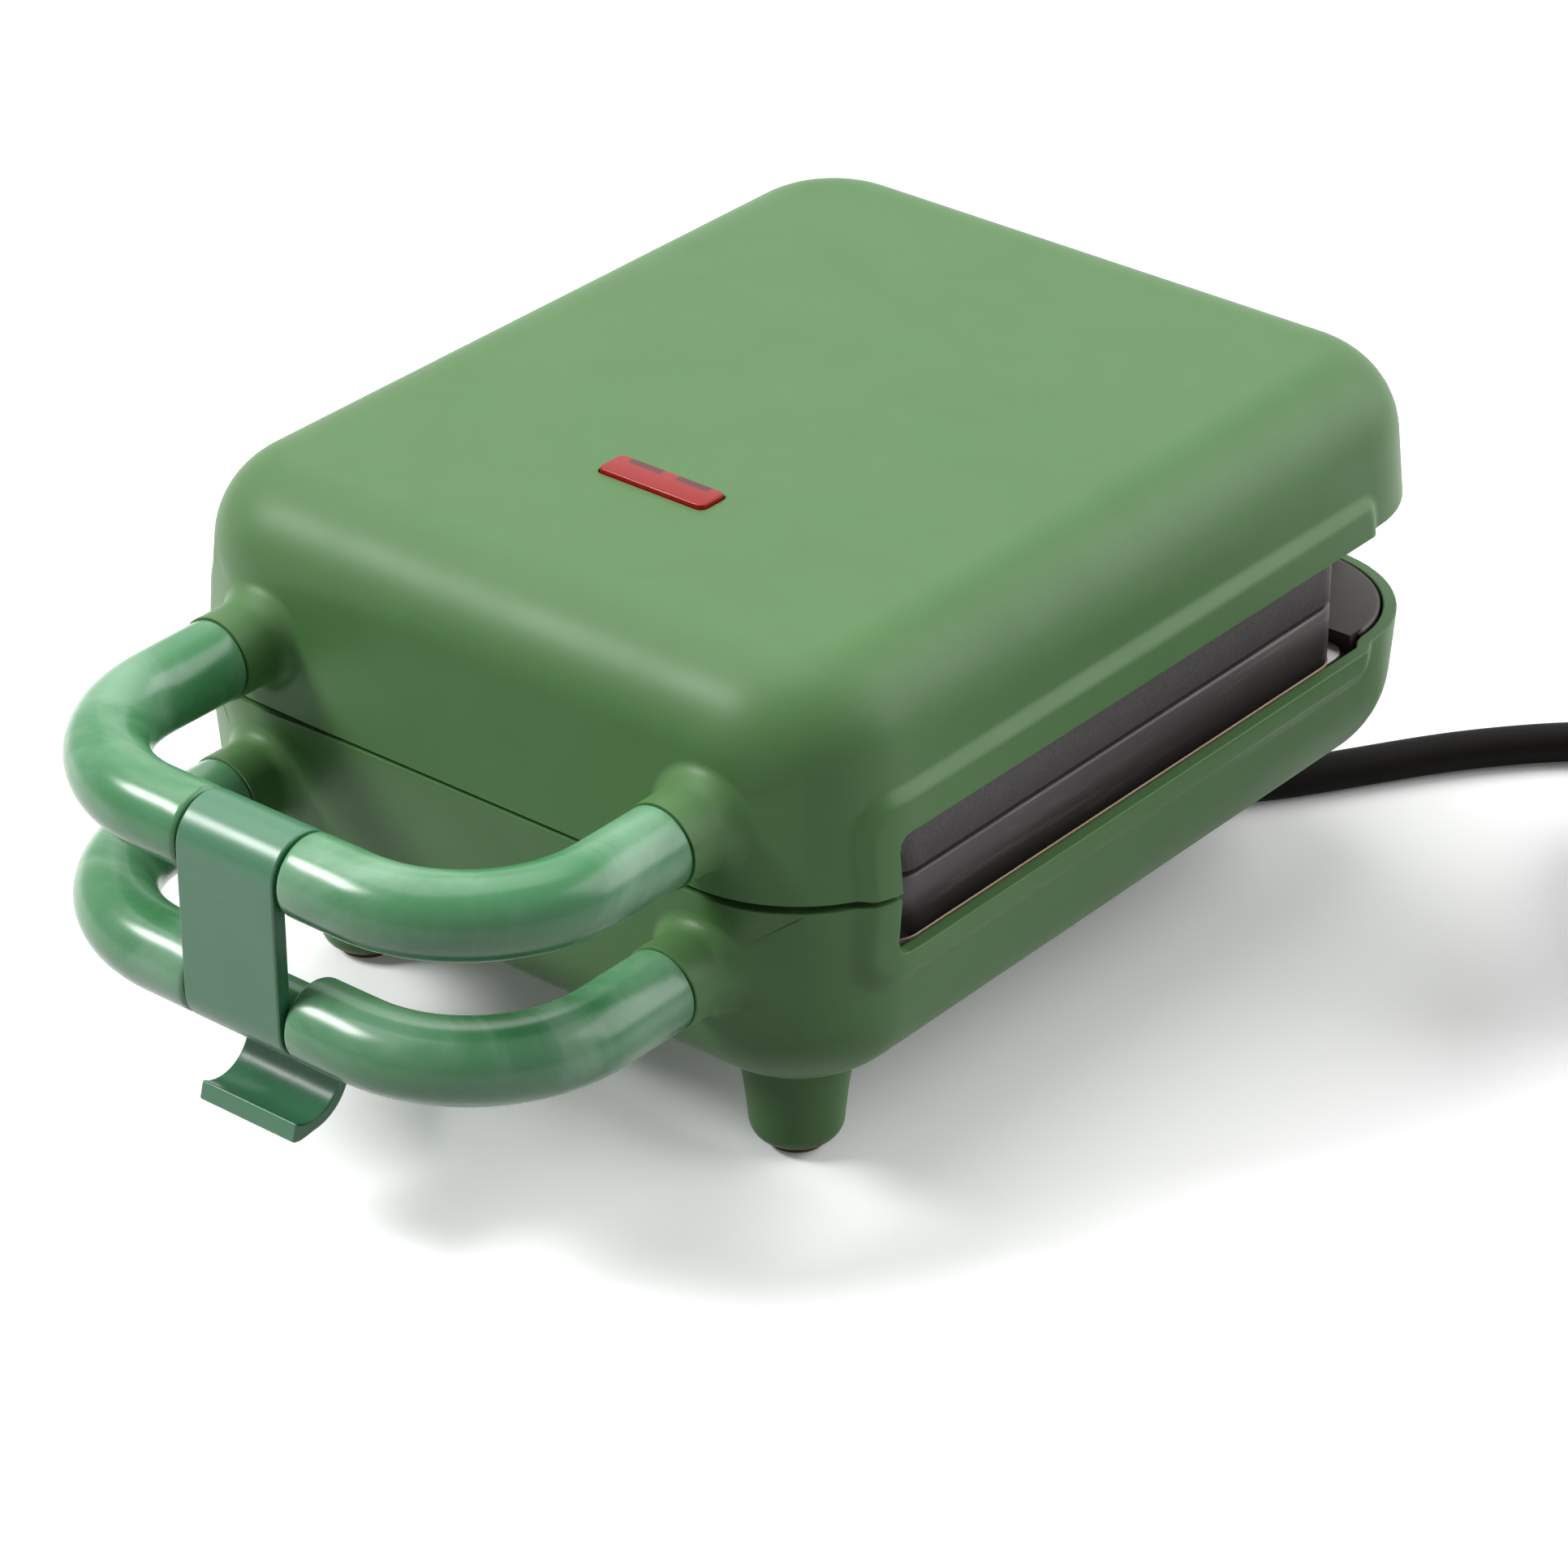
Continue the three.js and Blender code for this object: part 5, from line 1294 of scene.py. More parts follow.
    def shell(self, paint: Paint) -> Obj:
        """Builds the walled shell of this half.

        Args:
            paint: Material.

        Returns:
            The shell, before its fittings.
        """
        points, faces = self.surface()
        count = len(points)
        mirrored = [(-x, y, z) for x, y, z in points]
        near = [tuple(reversed(face)) for face in faces]
        other = [tuple(i + count for i in face) for face in faces]
        obj = mesh_object(self.name, points + mirrored, near + other, paint)
        work = bmesh.new()
        work.from_mesh(obj.data)
        cleaned(work, 2e-6)
        work.normal_update()
        crown = max(work.faces, key=lambda face: self.side * face.calc_center_median().z)
        if crown.normal.z * self.side < 0:
            bmesh.ops.reverse_faces(work, faces=work.faces)
        work.to_mesh(obj.data)
        work.free()
        return walled(obj, self.wall)


LID = Half("lid_shell_smooth", "lid", "upper", 1, height=33.4, fillet=14.2, draft=5.5, reach=9.4,
           band=5.7, blend=2.6, collar_away=11.0)
BASE = Half("base_shell_smooth", "base", "lower", -1, height=36.6, fillet=16.6, draft=4.3,
            reach=10.6, band=4.8, blend=3.4, collar_away=12.6)
FOOT_PLACES = ((-43.3, -58.0), (43.3, -58.0), (-20.0, 59.0), (20.0, 59.0))
LENS_MIDDLE = (0.0, -36.3)


@dataclass
class Housing:
    """Both housing shells with their hinge plates, feet, lead outlet and lens slot.

    Attributes:
        paints: The materials.
        hinge_x: Distance of each hinge from the middle.
        hinge_y: The hinge's axis, as y.
        hinge_z: Its height.
        knuckle: Radius of the hinge plates round the axis.
        arm_width: Width of the lid's arms.
        arm_reach: How far away the root of an arm is.
        ear_width: Width of the base's ears.
        ear_reach: How far away the root of an ear is.
        ear_offset: Distance of an ear from the middle of its arm.
        plate_front: Distance of a hinge plate's front edge from the axis.
        plate_knee: How far away a plate's rear edge starts to slant.
        plate_heel: Distance from the wall to where that slant ends.
        foot_tip: Radius of the flat under a foot.
        foot_round: Width and height of the rounding above that flat.
        foot_sides: Radii and heights of the rest of a foot.
        outlet: Middle of the hood that the lead leaves.
        outlet_bore: Radius and ends of its bore.
        hood: Half the width, half the depth and the corner radius of that hood.
        hood_layers: Inset and height of its ends.
        slot: Half the width, half the depth and the corner radius of the lens's slot.
        slot_layers: Inset and height of its ends.
    """

    paints: Paints
    hinge_x: float = 29.0
    hinge_y: float = 81.0
    hinge_z: float = 52.6
    knuckle: float = 5.0
    arm_width: float = 10.0
    arm_reach: float = 21.4
    ear_width: float = 5.0
    ear_reach: float = 22.6
    ear_offset: float = 7.8
    plate_front: float = 3.7
    plate_knee: float = 5.6
    plate_heel: float = 0.5
    foot_tip: Flat = (4.3, 1.0)
    foot_round: Flat = (2.95, 3.6)
    foot_sides: tuple[Flat, ...] = ((7.7, 9.0), (8.35, 13.5), (8.75, 16.6), (8.75, 17.6),
                                    (0.0, 17.6))
    outlet: Point = (27.7, 1.0, 10.0)
    outlet_bore: Point = (4.6, -9.0, 14.0)
    hood: Point = (8.0, 11.0, 2.0)
    hood_layers: tuple[Flat, ...] = ((0.0, 3.2), (0.0, 17.1))
    slot: Point = (10.4, 3.1, 1.3)
    slot_layers: tuple[Flat, ...] = ((0.0, 80.0), (0.0, 90.0))

    def hinge_plate(self, half: Half, reach: float, x: float, width: float) -> Obj:
        """Builds one hinge plate with rounded edges.

        Args:
            half: The half that it belongs to.
            reach: How far away its root is.
            x: Its middle.
            width: Its width.

        Returns:
            The plate.
        """
        root_y = half.half_y - half.inset(reach) + self.plate_heel
        front_y = self.hinge_y - self.plate_front
        outline = [(front_y, half.z(reach)), (front_y, self.hinge_z)]
        outline += arc((self.hinge_y, self.hinge_z), self.knuckle, half.side * 240,
                       half.side * 360, 8)
        outline += [(self.hinge_y + self.knuckle, half.z(self.plate_knee)),
                    (root_y, half.z(reach))]
        shape = slab(outline, x - width / 2, x + width / 2)
        return bevelled(solid("hinge_plate", shape, self.paints[HOUSING]), 0.5)

    def foot(self, x: float, y: float) -> Obj:
        """Builds one tapered foot.

        Args:
            x: Its middle.
            y: Its middle.

        Returns:
            The foot.
        """
        (radius, low), (wide, tall) = self.foot_tip, self.foot_round
        profile = [(0.0, low)]
        profile += [(radius + wide * sine, low + tall * (1 - cosine))
                    for sine, cosine in quarter(8)]
        shape = turned([*profile, *self.foot_sides], (x, y, 0.0), sides=48)
        return solid("foot", shape, self.paints[HOUSING])

    def outlet_hood(self) -> Obj:
        """Builds the hood that the lead leaves.

        Returns:
            The hood with its bore.
        """
        x, y, z = self.outlet
        block = solid("hood", stacked(self.hood, self.hood_layers, (x, y), 5),
                      self.paints[HOUSING])
        radius, start, end = self.outlet_bore
        profile = [(0, start), (radius, start), (radius, end), (0, end)]
        return bevelled(cut(block, solid("bore", turned(profile, (x, 0.0, z), Axis.Y))), 0.7)

    def build(self) -> None:
        """Builds both shells."""
        shell = LID.shell(self.paints[HOUSING])
        slot = solid("slot", stacked(self.slot, self.slot_layers, LENS_MIDDLE, 6))
        shell = bevelled(cut(shell, slot), 0.3)
        arms = [self.hinge_plate(LID, self.arm_reach, sign * self.hinge_x, self.arm_width)
                for sign in (-1, 1)]
        dress(joined(LID.name, [shell, *arms]), LID.body, "housing_green", "lid_shell")
        shell = bevelled(BASE.shell(self.paints[HOUSING]), 0.3)
        ears = [self.hinge_plate(BASE, self.ear_reach, sign * self.hinge_x + turn * self.ear_offset,
                                 self.ear_width) for sign in (-1, 1) for turn in (-1, 1)]
        feet = [self.foot(x, y) for x, y in FOOT_PLACES]
        pieces = [shell, *ears, *feet, self.outlet_hood()]
        dress(joined(BASE.name, pieces), BASE.body, "housing_green", "base_shell")


@dataclass
class Grips:
    """The two bent handles and the latch clip.

    Attributes:
        paints: The materials.
        strands: The tree that makes the tubes.
        handle_x: Distance of a handle's straight ends from the middle.
        tenon: Radius of the end that goes into the collar.
        tenon_ends: Where that end starts and stops, as y.
        lip: Rounding of the tube where it leaves the collar.
        straight_y: Where the straight part starts.
        reach_y: The front run's middle, as y.
        bend: Radius of each bend.
        tube: Radius of the tube.
        front_x: Where the bend has ended, as x.
        neck: Radius of the thin neck.
        neck_x: Half of the neck's length.
        shoulder: Rounding of the tube's end at the neck.
        upper_z: Height of the upper handle.
        lower_z: Height of the lower handle.
        clip_half: Half of the clip's width.
        clip_gap: Room between the clip and the neck.
        clip_plate: Thickness of the clip's front plate.
        wrap_degrees: Where the wrap ends round the upper neck.
        cup_start: Where the cup starts in front of the handle's middle.
        tab_offset: Place of the finger tab's middle from the lower handle's middle.
        tab_radii: Radius of the tab's inner and outer face.
        tab_lip: Angle in degrees and radius of each point of the tab's rounded lip.
    """

    paints: Paints
    strands: StrandTree
    handle_x: float = 42.85
    tenon: float = 4.0
    tenon_ends: Flat = (-80.7, -87.8)
    lip: float = 0.25
    straight_y: float = -89.5
    reach_y: float = -124.2
    bend: float = 23.7
    tube: float = 6.4
    front_x: float = 18.0
    neck: float = 4.3
    neck_x: float = 9.7
    shoulder: float = 0.9
    upper_z: float = 63.6
    lower_z: float = 40.0
    clip_half: float = 9.3
    clip_gap: float = 0.25
    clip_plate: float = 2.6
    wrap_degrees: float = -60.0
    cup_start: float = 0.6
    tab_offset: Flat = (-0.4, -11.0)
    tab_radii: Flat = (6.1, 8.0)
    tab_lip: tuple[Flat, ...] = ((-119, 9.0), (-114, 8.95), (-108, 8.75), (-101, 8.4), (-94, 8.1))

    def path(self, z: float) -> tuple[list[Point], list[float]]:
        """Lists one handle's centre line and radius.

        Args:
            z: Height of the handle.

        Returns:
            Points and radii.
        """
        side, front, tube = self.handle_x, self.reach_y, self.tube
        half = [(side, y, self.tenon) for y in self.tenon_ends]
        half += [(side, self.tenon_ends[1] - 0.02 - self.lip * (1 - cosine) - 0.01 * k,
                  tube - self.lip * (1 - sine)) for k, (sine, cosine) in enumerate(quarter(4))]
        half += [(side, y, tube) for y in np.linspace(self.straight_y, front + self.bend, 5)]
        half += [(side - self.bend * (1 - cosine), front + self.bend * (1 - sine), tube)
                 for sine, cosine in quarter(28, 1)]
        half += [(x, front, tube) for x in np.linspace(self.front_x, self.neck_x + 1.0, 4)]
        half += [(self.neck_x + self.shoulder * (1 - sine) + 0.01 * (4 - k), front,
                  tube - self.shoulder * (1 - cosine))
                 for k, (sine, cosine) in enumerate(quarter(5, 1))]
        half += [(self.neck_x - inside, front, self.neck) for inside in (0.03, 1.0)]
        whole = half + [(-x, y, radius) for x, y, radius in reversed(half)]
        return [(x, y, z) for x, y, _ in whole], [radius for _, _, radius in whole]

    def clip_outline(self) -> list[Flat]:
        """Gives the clip's side outline: wrap, front plate, cup and finger tab.

        Returns:
            Points as y and z.
        """
        high, low = (self.reach_y, self.upper_z), (self.reach_y, self.lower_z)
        apart, inner = self.upper_z - self.lower_z, self.neck + self.clip_gap
        tab = (low[0] + self.tab_offset[0], low[1] + self.tab_offset[1])
        tab_inner, tab_outer = self.tab_radii
        back = math.degrees(math.acos((self.clip_plate - self.tube) / inner))
        cup_y = self.reach_y + self.cup_start

        def cup(radius: float, y: float) -> Flat:
            """Gives a point of the cup's arc round the wrap's axis."""
            return y, self.upper_z - math.sqrt(radius ** 2 - (y - self.reach_y) ** 2)

        outline = arc(high, self.tube, self.wrap_degrees, 180)
        outline += arc(low, self.tube, 180, 270)
        outline += [cup(apart + self.tube, y) for y in np.linspace(cup_y, tab[0] + tab_inner, 6)]
        outline += arc(tab, tab_inner, 0, -125)
        for degrees, radius in self.tab_lip:
            turn = math.radians(degrees)
            outline.append((tab[0] + radius * math.cos(turn), tab[1] + radius * math.sin(turn)))
        outline += arc(tab, tab_outer, -88, 0)
        outline += [cup(apart + inner, y) for y in np.linspace(tab[0] + tab_outer, cup_y, 7)]
        outline += arc(low, inner, 270, back)
        outline += arc(high, inner, 360 - back, self.wrap_degrees)
        return outline

    def build(self) -> None:
        """Builds the handles and the clip."""
        for half, z in ((LID, self.upper_z), (BASE, self.lower_z)):
            points, girths = self.path(z)
            tube = self.strands.along(f"{half.level}_handle_tube", points, girths, 48,
                                      self.paints[HANDLE])
            dress(tube, half.body, "handle_marbled", f"{half.level}_handle")
        shape = slab(self.clip_outline(), -self.clip_half, self.clip_half)
        clip = bevelled(solid("latch_clip_bent", shape, self.paints[CLIP]), 0.5, 4)
        dress(clip, "latch_clip", "clip_green", "latch_clip")


@dataclass
class Lens:
    """The indicator lens with its flange.

    Attributes:
        paints: The materials.
        size: Half of the width, half of the depth and the corner radius.
        edge: Rounding of its upper edge.
        top: Height of its face.
        low: Height of its flange's upper face.
        flange: How far the flange stands out.
        flange_depth: Thickness of the flange.
    """

    paints: Paints
    size: Point = (10.1, 2.8, 1.0)
    edge: float = 0.25
    top: float = 86.7
    low: float = 83.5
    flange: float = 1.5
    flange_depth: float = 1.0

    def build(self) -> None:
        """Builds the lens as one clear block with rounded edges."""
        layers = [(-self.flange, self.low - self.flange_depth), (-self.flange, self.low),
                  (0.0, self.low + 0.02)]
        layers += [(self.edge * (1 - cosine), self.top - self.edge * (1 - sine))
                   for sine, cosine in quarter(5)]
        lens = solid("indicator_lens_block", stacked(self.size, layers, LENS_MIDDLE),
                     self.paints[LENS])
        dress(lens, "lid", "lens_red", "indicator_lens")


@dataclass
class Fixings:
    """Screws and foot pads, each made once and repeated at its places.

    Attributes:
        paints: The materials.
        repeats: The tree that repeats a piece.
        deck_places: Name, x and y of the screws that hold each inner frame.
        deck_z: Height of their heads on the lid's and on the base's deck.
        deck_turn: Turn of each of them against the one before.
        grip_seat: Distance of the handle screws' heads from the wall's inner face.
        socket: Half the length and half the width of the cross in a head.
        socket_depth: Depth of that cross.
        turns: Turns of a screw's thread.
        thread: Place in a turn and share of the radius of each point of the thread.
        pad_profile: Radius and height of the points of a pad.
    """

    paints: Paints
    repeats: RepeatTree
    deck_places: tuple[tuple[str, float, float], ...] = (
        ("front_left", -47.0, -67.6), ("front_right", 47.0, -67.6), ("rear_left", -38.0, 67.0),
        ("rear_right", 38.0, 67.0))
    deck_z: Flat = (62.9, 42.3)
    deck_turn: float = 0.3
    grip_seat: float = 2.6
    socket: Flat = (1.7, 0.35)
    socket_depth: float = 0.75
    turns: int = 11
    thread: tuple[Flat, ...] = ((0.15, 1.0), (0.55, 0.8), (0.95, 1.0))
    pad_profile: tuple[Flat, ...] = ((0.0, 0.0), (4.1, 0.0), (4.4, 0.1), (4.55, 0.3), (4.55, 0.9),
                                     (2.7, 0.9), (2.7, 3.7), (0.0, 3.7))

    def screw(self, head: float, crown: float, height: float, shank: float, length: float) -> Obj:
        """Builds a cross-head screw with its head at the origin and its shank along +Z.

        Args:
            head: Radius of the head.
            crown: Radius of the head's flat.
            height: Height of the head.
            shank: Radius of the thread's crests.
            length: Whole length.

        Returns:
            The screw.
        """
        profile = [(0.0, 0.0), (crown, 0.0), (head * 0.95, height * 0.35), (head, height * 0.7),
                   (head, height), (shank, height)]
        pitch = (length - height - 2.0) / self.turns
        profile += [(shank * share, height + pitch * (k + along))
                    for k in range(self.turns) for along, share in self.thread]
        profile += [(shank * 0.8, length - 1.6), (0.0, length)]
        body = small_piece("screw", turned(profile, (0.0, 0.0, 0.0), sides=20))
        for half in (self.socket, self.socket[::-1]):
            shape = stacked((*half, 0.1), ((0.0, -0.5), (0.0, self.socket_depth)), steps=2)
            body = cut(body, small_piece("slot", shape))
        return body

    def build(self) -> None:
        """Builds the screws of both halves and the pads."""
        deck_screw = self.screw(head=3.0, crown=2.2, height=1.2, shank=1.5, length=13.8)
        grip_screw = self.screw(head=3.3, crown=2.5, height=2.0, shank=1.5, length=12.0)
        pad = small_piece("pad", turned(self.pad_profile, (0.0, 0.0, 0.0), sides=36))
        for half, deck in zip((LID, BASE), self.deck_z):
            flip = 0.0 if half is LID else math.pi
            places = [(x, y, deck) for _, x, y in self.deck_places]
            turns = [(flip, 0.0, self.deck_turn * k) for k in range(len(places))]
            screws = self.repeats.at(f"{half.body}_deck_screws", deck_screw, places, turns,
                                     self.paints[STEEL])
            nodes = [f"{half.body}_screw_{where}" for where, _, _ in self.deck_places]
            dress(screws, half.body, "steel_bright", *nodes)
            seat = -half.half_y + half.inset(half.collar_away) + half.wall + self.grip_seat
            places = [(sign * half.handle_x, seat, half.z(half.collar_away)) for sign in (-1, 1)]
            screws = self.repeats.at(f"{half.body}_grip_screws", grip_screw, places,
                                     [(QUARTER, 0.0, 0.0)] * 2, self.paints[STEEL])
            nodes = [f"{half.level}_handle_screw_{where}" for where in ("left", "right")]
            dress(screws, half.body, "steel_bright", *nodes)
        places = [(x, y, 0.0) for x, y in FOOT_PLACES]
        pads = self.repeats.at("foot_pads", pad, places, [(0.0, 0.0, 0.0)] * len(places),
                               self.paints[RUBBER])
        nodes = [f"foot_pad_{end}_{hand}" for end in ("front", "rear")
                 for hand in ("left", "right")]
        dress(pads, "base", "rubber_brown", *nodes)
        remove(deck_screw, grip_screw, pad)


@dataclass(frozen=True)
class Pin:
    """One pin of the plug.

    Attributes:
        middle: Its middle across the plug's face.
        half: Half of its width and half of its depth.
        length: How far it stands out.
        sleeved: Whether its root has a dark sleeve.
    """

    middle: Flat
    half: Flat
    length: float
    sleeved: bool


PINS = (Pin((11.1, 20.0), (3.15, 2.0), 17.7, True), Pin((-11.1, 20.0), (3.15, 2.0), 17.7, True),
        Pin((0.0, 42.2), (2.0, 4.0), 22.7, False))


@dataclass(frozen=True)
class Sleeve:
    """A turned rubber sleeve with ribs, given by radii and distances along its axis.

    Attributes:
        root: Points before the ribs.
        start: Where the first rib starts.
        rib: Points of the first rib, from its start.
        count: Number of ribs.
        pitch: Distance of a rib from the next one.
        grow: How much wider the next rib is.
        end: Points behind the ribs.
    """

    root: tuple[Flat, ...]
    start: float
    rib: tuple[Flat, ...]
    count: int
    pitch: float
    grow: float
    end: tuple[Flat, ...]

    def profile(self) -> list[Flat]:
        """Gives all the points of the sleeve's side."""
        ribs = [(radius + self.grow * k, self.start + self.pitch * k + along)
                for k in range(self.count) for radius, along in self.rib]
        return [*self.root, *ribs, *self.end]


RELIEF = Sleeve(
    ((0.0, 8.5), (5.1, 8.5), (5.1, 9.9), (4.3, 9.9), (4.3, 12.3), (4.8, 12.4), (5.0, 12.7),
     (5.0, 14.2)),
    14.2, ((4.1, 0.15), (4.1, 0.95), (4.95, 1.1), (4.9, 2.7)), count=7, pitch=2.7, grow=-0.13,
    end=((4.0, 33.9), (3.7, 34.3), (0.0, 34.3)))
PLUG_NECK = Sleeve(
    ((0.0, 0.0), (3.4, 0.0), (3.65, 0.3)),
    1.4, ((3.75, 0.0), (3.2, 0.2), (3.2, 1.0), (3.85, 1.2)), count=3, pitch=2.8, grow=0.2,
    end=((4.4, 10.0), (4.4, 20.0), (0.0, 20.0)))


@dataclass
class Lead:
    """The mains lead with its relief, coil, tie and plug.

    Attributes:
        paints: The materials.
        strands: The tree that makes the lead.
        radius: Radius of the lead.
        coil_x: The coil's middle.
        coil_y: The coil's middle.
        coil_radius: Radius of its outermost turn.
        coil_turns: Number of turns, half of them on the way in and half on the way out.
        pitch: Distance of a turn from the next one.
        rise: How much higher the turns on the way out lie.
        rise_start: Turns after which the lead starts to rise.
        rise_turns: Turns that the rise takes.
        lift: Room under the lowest turns.
        start_degrees: Where the first turn starts.
        outlet: Where the relief's axis starts.
        plug_heading: Turn of the plug, clockwise from +Y in degrees.
        plug_base: Height of the plug's lower face.
        plug_middle: Distance of the plug's middle from its entry.
        plug_sink: How far the lead goes into the plug.
        plug_size: Half of its width, half of its depth and its corner radius.
        plug_layers: Inset and height of the points of its side.
        plug_neck_z: Height of its neck's axis above its lower face.
        plug_face: Half the width, half the depth and the corner radius of its raised face.
        tie_degrees: Where the tie is round the coil.
        tie_half: Half of the tie's width.
        tie_room: Room between the tie and the lead.
        tie_thick: Thickness of the tie.
        tie_low: Height of the tie's inner side under the turns.
        tie_corners: Corner radius of the tie's outer and inner side.
        route: Points of the lead from the relief to the coil.
        plug_route: Points of the lead from the coil to the plug.
    """

    paints: Paints
    strands: StrandTree
    radius: float = 3.25
    coil_x: float = 135.7
    coil_y: float = 96.5
    coil_radius: float = 41.0
    coil_turns: int = 4
    pitch: float = 7.2
    rise: float = 7.0
    rise_start: float = 1.75
    rise_turns: float = 0.5
    lift: float = 0.9
    start_degrees: float = 100.0
    outlet: Point = (27.7, 0.0, 10.0)
    plug_heading: float = 231.5
    plug_base: float = 14.7
    plug_middle: float = 32.0
    plug_sink: float = 0.3
    plug_size: Point = (24.0, 22.0, 8.0)
    plug_layers: tuple[Flat, ...] = (
        (5.5, 0.0), (4.4, 0.35), (3.8, 1.2), (2.4, 6.0), (1.0, 11.0), (0.3, 13.4), (0.0, 14.2),
        (0.0, 18.6), (0.25, 19.4), (0.9, 19.9), (1.6, 20.0))
    plug_neck_z: float = 8.5
    plug_face: Point = (19.5, 17.5, 6.0)
    tie_degrees: float = 185.0
    tie_half: float = 4.0
    tie_room: float = 0.35
    tie_thick: float = 0.58
    tie_low: float = 0.6
    tie_corners: Flat = (2.6, 2.2)
    route: tuple[Point, ...] = (
        (27.7, 34.6, 10), (27.7, 41, 9.6), (28.6, 47.5, 8.2), (31, 53.6, 6.3), (34.2, 59.1, 4.7),
        (37.5, 64, 3.7), (40.8, 68.9, 3.3), (44.1, 73.8, 3.25), (47.4, 78.9, 3.25),
        (50.9, 84.4, 3.25), (54.6, 90.1, 3.25), (58.6, 95.7, 3.25), (62.9, 101, 3.25),
        (67.5, 106.1, 3.25), (72.7, 111, 3.3), (79.4, 116.4, 3.4), (86.8, 121.3, 3.6),
        (94.8, 125.8, 3.8), (103.2, 129.7, 4), (109.4, 132.1, 4.1), (115.4, 134.3, 4.15),
        (121.8, 135.7, 4.15))
    plug_route: tuple[Point, ...] = (
        (135.3, 138.1, 11.15), (141.3, 139.1, 11.3), (147.3, 139.3, 11.9), (153.3, 138.1, 12.7),
        (158.8, 135.7, 13.8), (163.7, 132.1, 15.2), (167.7, 127.6, 16.6), (170.6, 122.2, 18.1),
        (172.2, 116.4, 19.5), (172.5, 110.3, 20.8), (171.5, 104.4, 21.8), (169.2, 98.8, 22.6),
        (165.7, 93.8, 23.1), (161.2, 89.7, 23.2), (156.4, 85.9, 23.2))

    def coil_point(self, turn: float) -> Point:
        """Gives a point of the coil's centre line.

        Args:
            turn: Number of turns from its start.

        Returns:
            The point in own millimetres.
        """
        angle = math.radians(self.start_degrees) - turn * math.tau
        radius = self.coil_radius - self.pitch * min(turn, self.coil_turns - turn)
        z = self.radius + self.lift + self.rise * eased((turn - self.rise_start) / self.rise_turns)
        return self.coil_x + radius * math.cos(angle), self.coil_y + radius * math.sin(angle), z

    def line(self) -> np.ndarray:
        """Gives the whole lead's centre line, from the relief to the plug."""
        winding = [self.coil_point(k / 32) for k in range(self.coil_turns * 32 + 1)]
        return smooth_path([*self.route, *winding, *self.plug_route], 2.0)

    def rubber(self, name: str, shape: Shape) -> Obj:
        """Makes a piece of the lead's black rubber."""
        return solid(name, shape, self.paints[LEAD])

    def relief(self) -> None:
        """Builds the ribbed strain relief at the outlet."""
        piece = self.rubber("lead_relief", turned(RELIEF.profile(), self.outlet, Axis.Y, 36))
        dress(piece, "base", "cord_black", "cord_strain_relief")

    def turn_into_place(self, piece: Obj, middle: Point, degrees: float) -> None:
        """Turns a piece drawn round the own origin about +Z and moves it, within its mesh.

        Args:
            piece: Piece drawn at the own origin.
            middle: Its place in own millimetres.
            degrees: Turn, counter-clockwise from above.
        """
        back = Matrix.Translation((0.0, -SHIFT_Y * MM, 0.0))
        spot = Matrix.Translation(Vector(metres([middle])[0]))
        piece.data.transform(spot @ Matrix.Rotation(math.radians(degrees), 4, "Z") @ back)

    def plug_shell(self) -> Obj:
        """Builds the plug's body with its ribbed neck and its raised face.

        Returns:
            The body, drawn round the own origin.
        """
        middle, top = (0.0, self.plug_middle), self.plug_layers[-1][1]
        body = self.rubber("plug_shell", stacked(self.plug_size, self.plug_layers, middle))
        shape = turned(PLUG_NECK.profile(), (0.0, 0.0, self.plug_neck_z), Axis.Y, 28)
        relief = self.rubber("plug_neck", shape)
        shape = stacked(self.plug_face, ((0.0, top), (0.0, top + 0.25)), middle, 6)
        face = self.rubber("plug_face", shape)
        return joined("plug_shell", [bevelled(body, 0.3), relief, bevelled(face, 0.12)])

    def plug_pins(self) -> Obj:
        """Builds the plug's three pins, two of them with a sleeve.

        Returns:
            The pins, drawn round the own origin.
        """
        pieces, top = [], self.plug_layers[-1][1]
        for pin in PINS:
            end = top + pin.length
            layers = ((0.0, top - 3.0), (0.0, end - 2.0), (0.35, end - 0.9), (1.1, end))
            shape = stacked((*pin.half, 0.3), layers, pin.middle, 3)
            pieces.append(solid("pin", shape, self.paints[BRASS]))
            if pin.sleeved:
                shape = stacked((*pin.half, 0.3), ((-0.05, top - 2.0), (-0.05, top + 8.5)),
                                pin.middle, 3)
                pieces.append(self.rubber("pin_sleeve", shape))
        return joined("plug_pins", pieces)

    def plug(self) -> tuple[Obj, Obj]:
        """Builds the plug where the lead ends.

        Returns:
            The body and the pins.
        """
        turn = math.radians(self.plug_heading)
        end_x, end_y, _ = self.plug_route[-1]
        entry = (end_x + self.plug_sink * math.sin(turn), end_y + self.plug_sink * math.cos(turn),
                 self.plug_base)
        body, pins = self.plug_shell(), self.plug_pins()
        for piece in (body, pins):
            self.turn_into_place(piece, entry, -self.plug_heading)
        dress(body, "base", "cord_black", "plug_body")
        nodes = [f"plug_pin_{wire}" for wire in ("line", "neutral", "earth")]
        dress(pins, "base", "brass_yellow", *nodes)
        return body, pins

    def tie(self) -> Obj:
        """Builds the soft band round the coil's bundle of turns.

        Returns:
            The band.
        """
        share = ((self.start_degrees - self.tie_degrees) / 360.0 + 1) % 1
        around = self.radius + self.tie_room
        low = self.coil_radius - self.pitch * (1 + share) - around
        high = self.coil_radius - self.pitch * min(share, 1 - share) + around
        bottom, top = self.tie_low, 2 * self.radius + self.lift + self.rise + self.tie_room

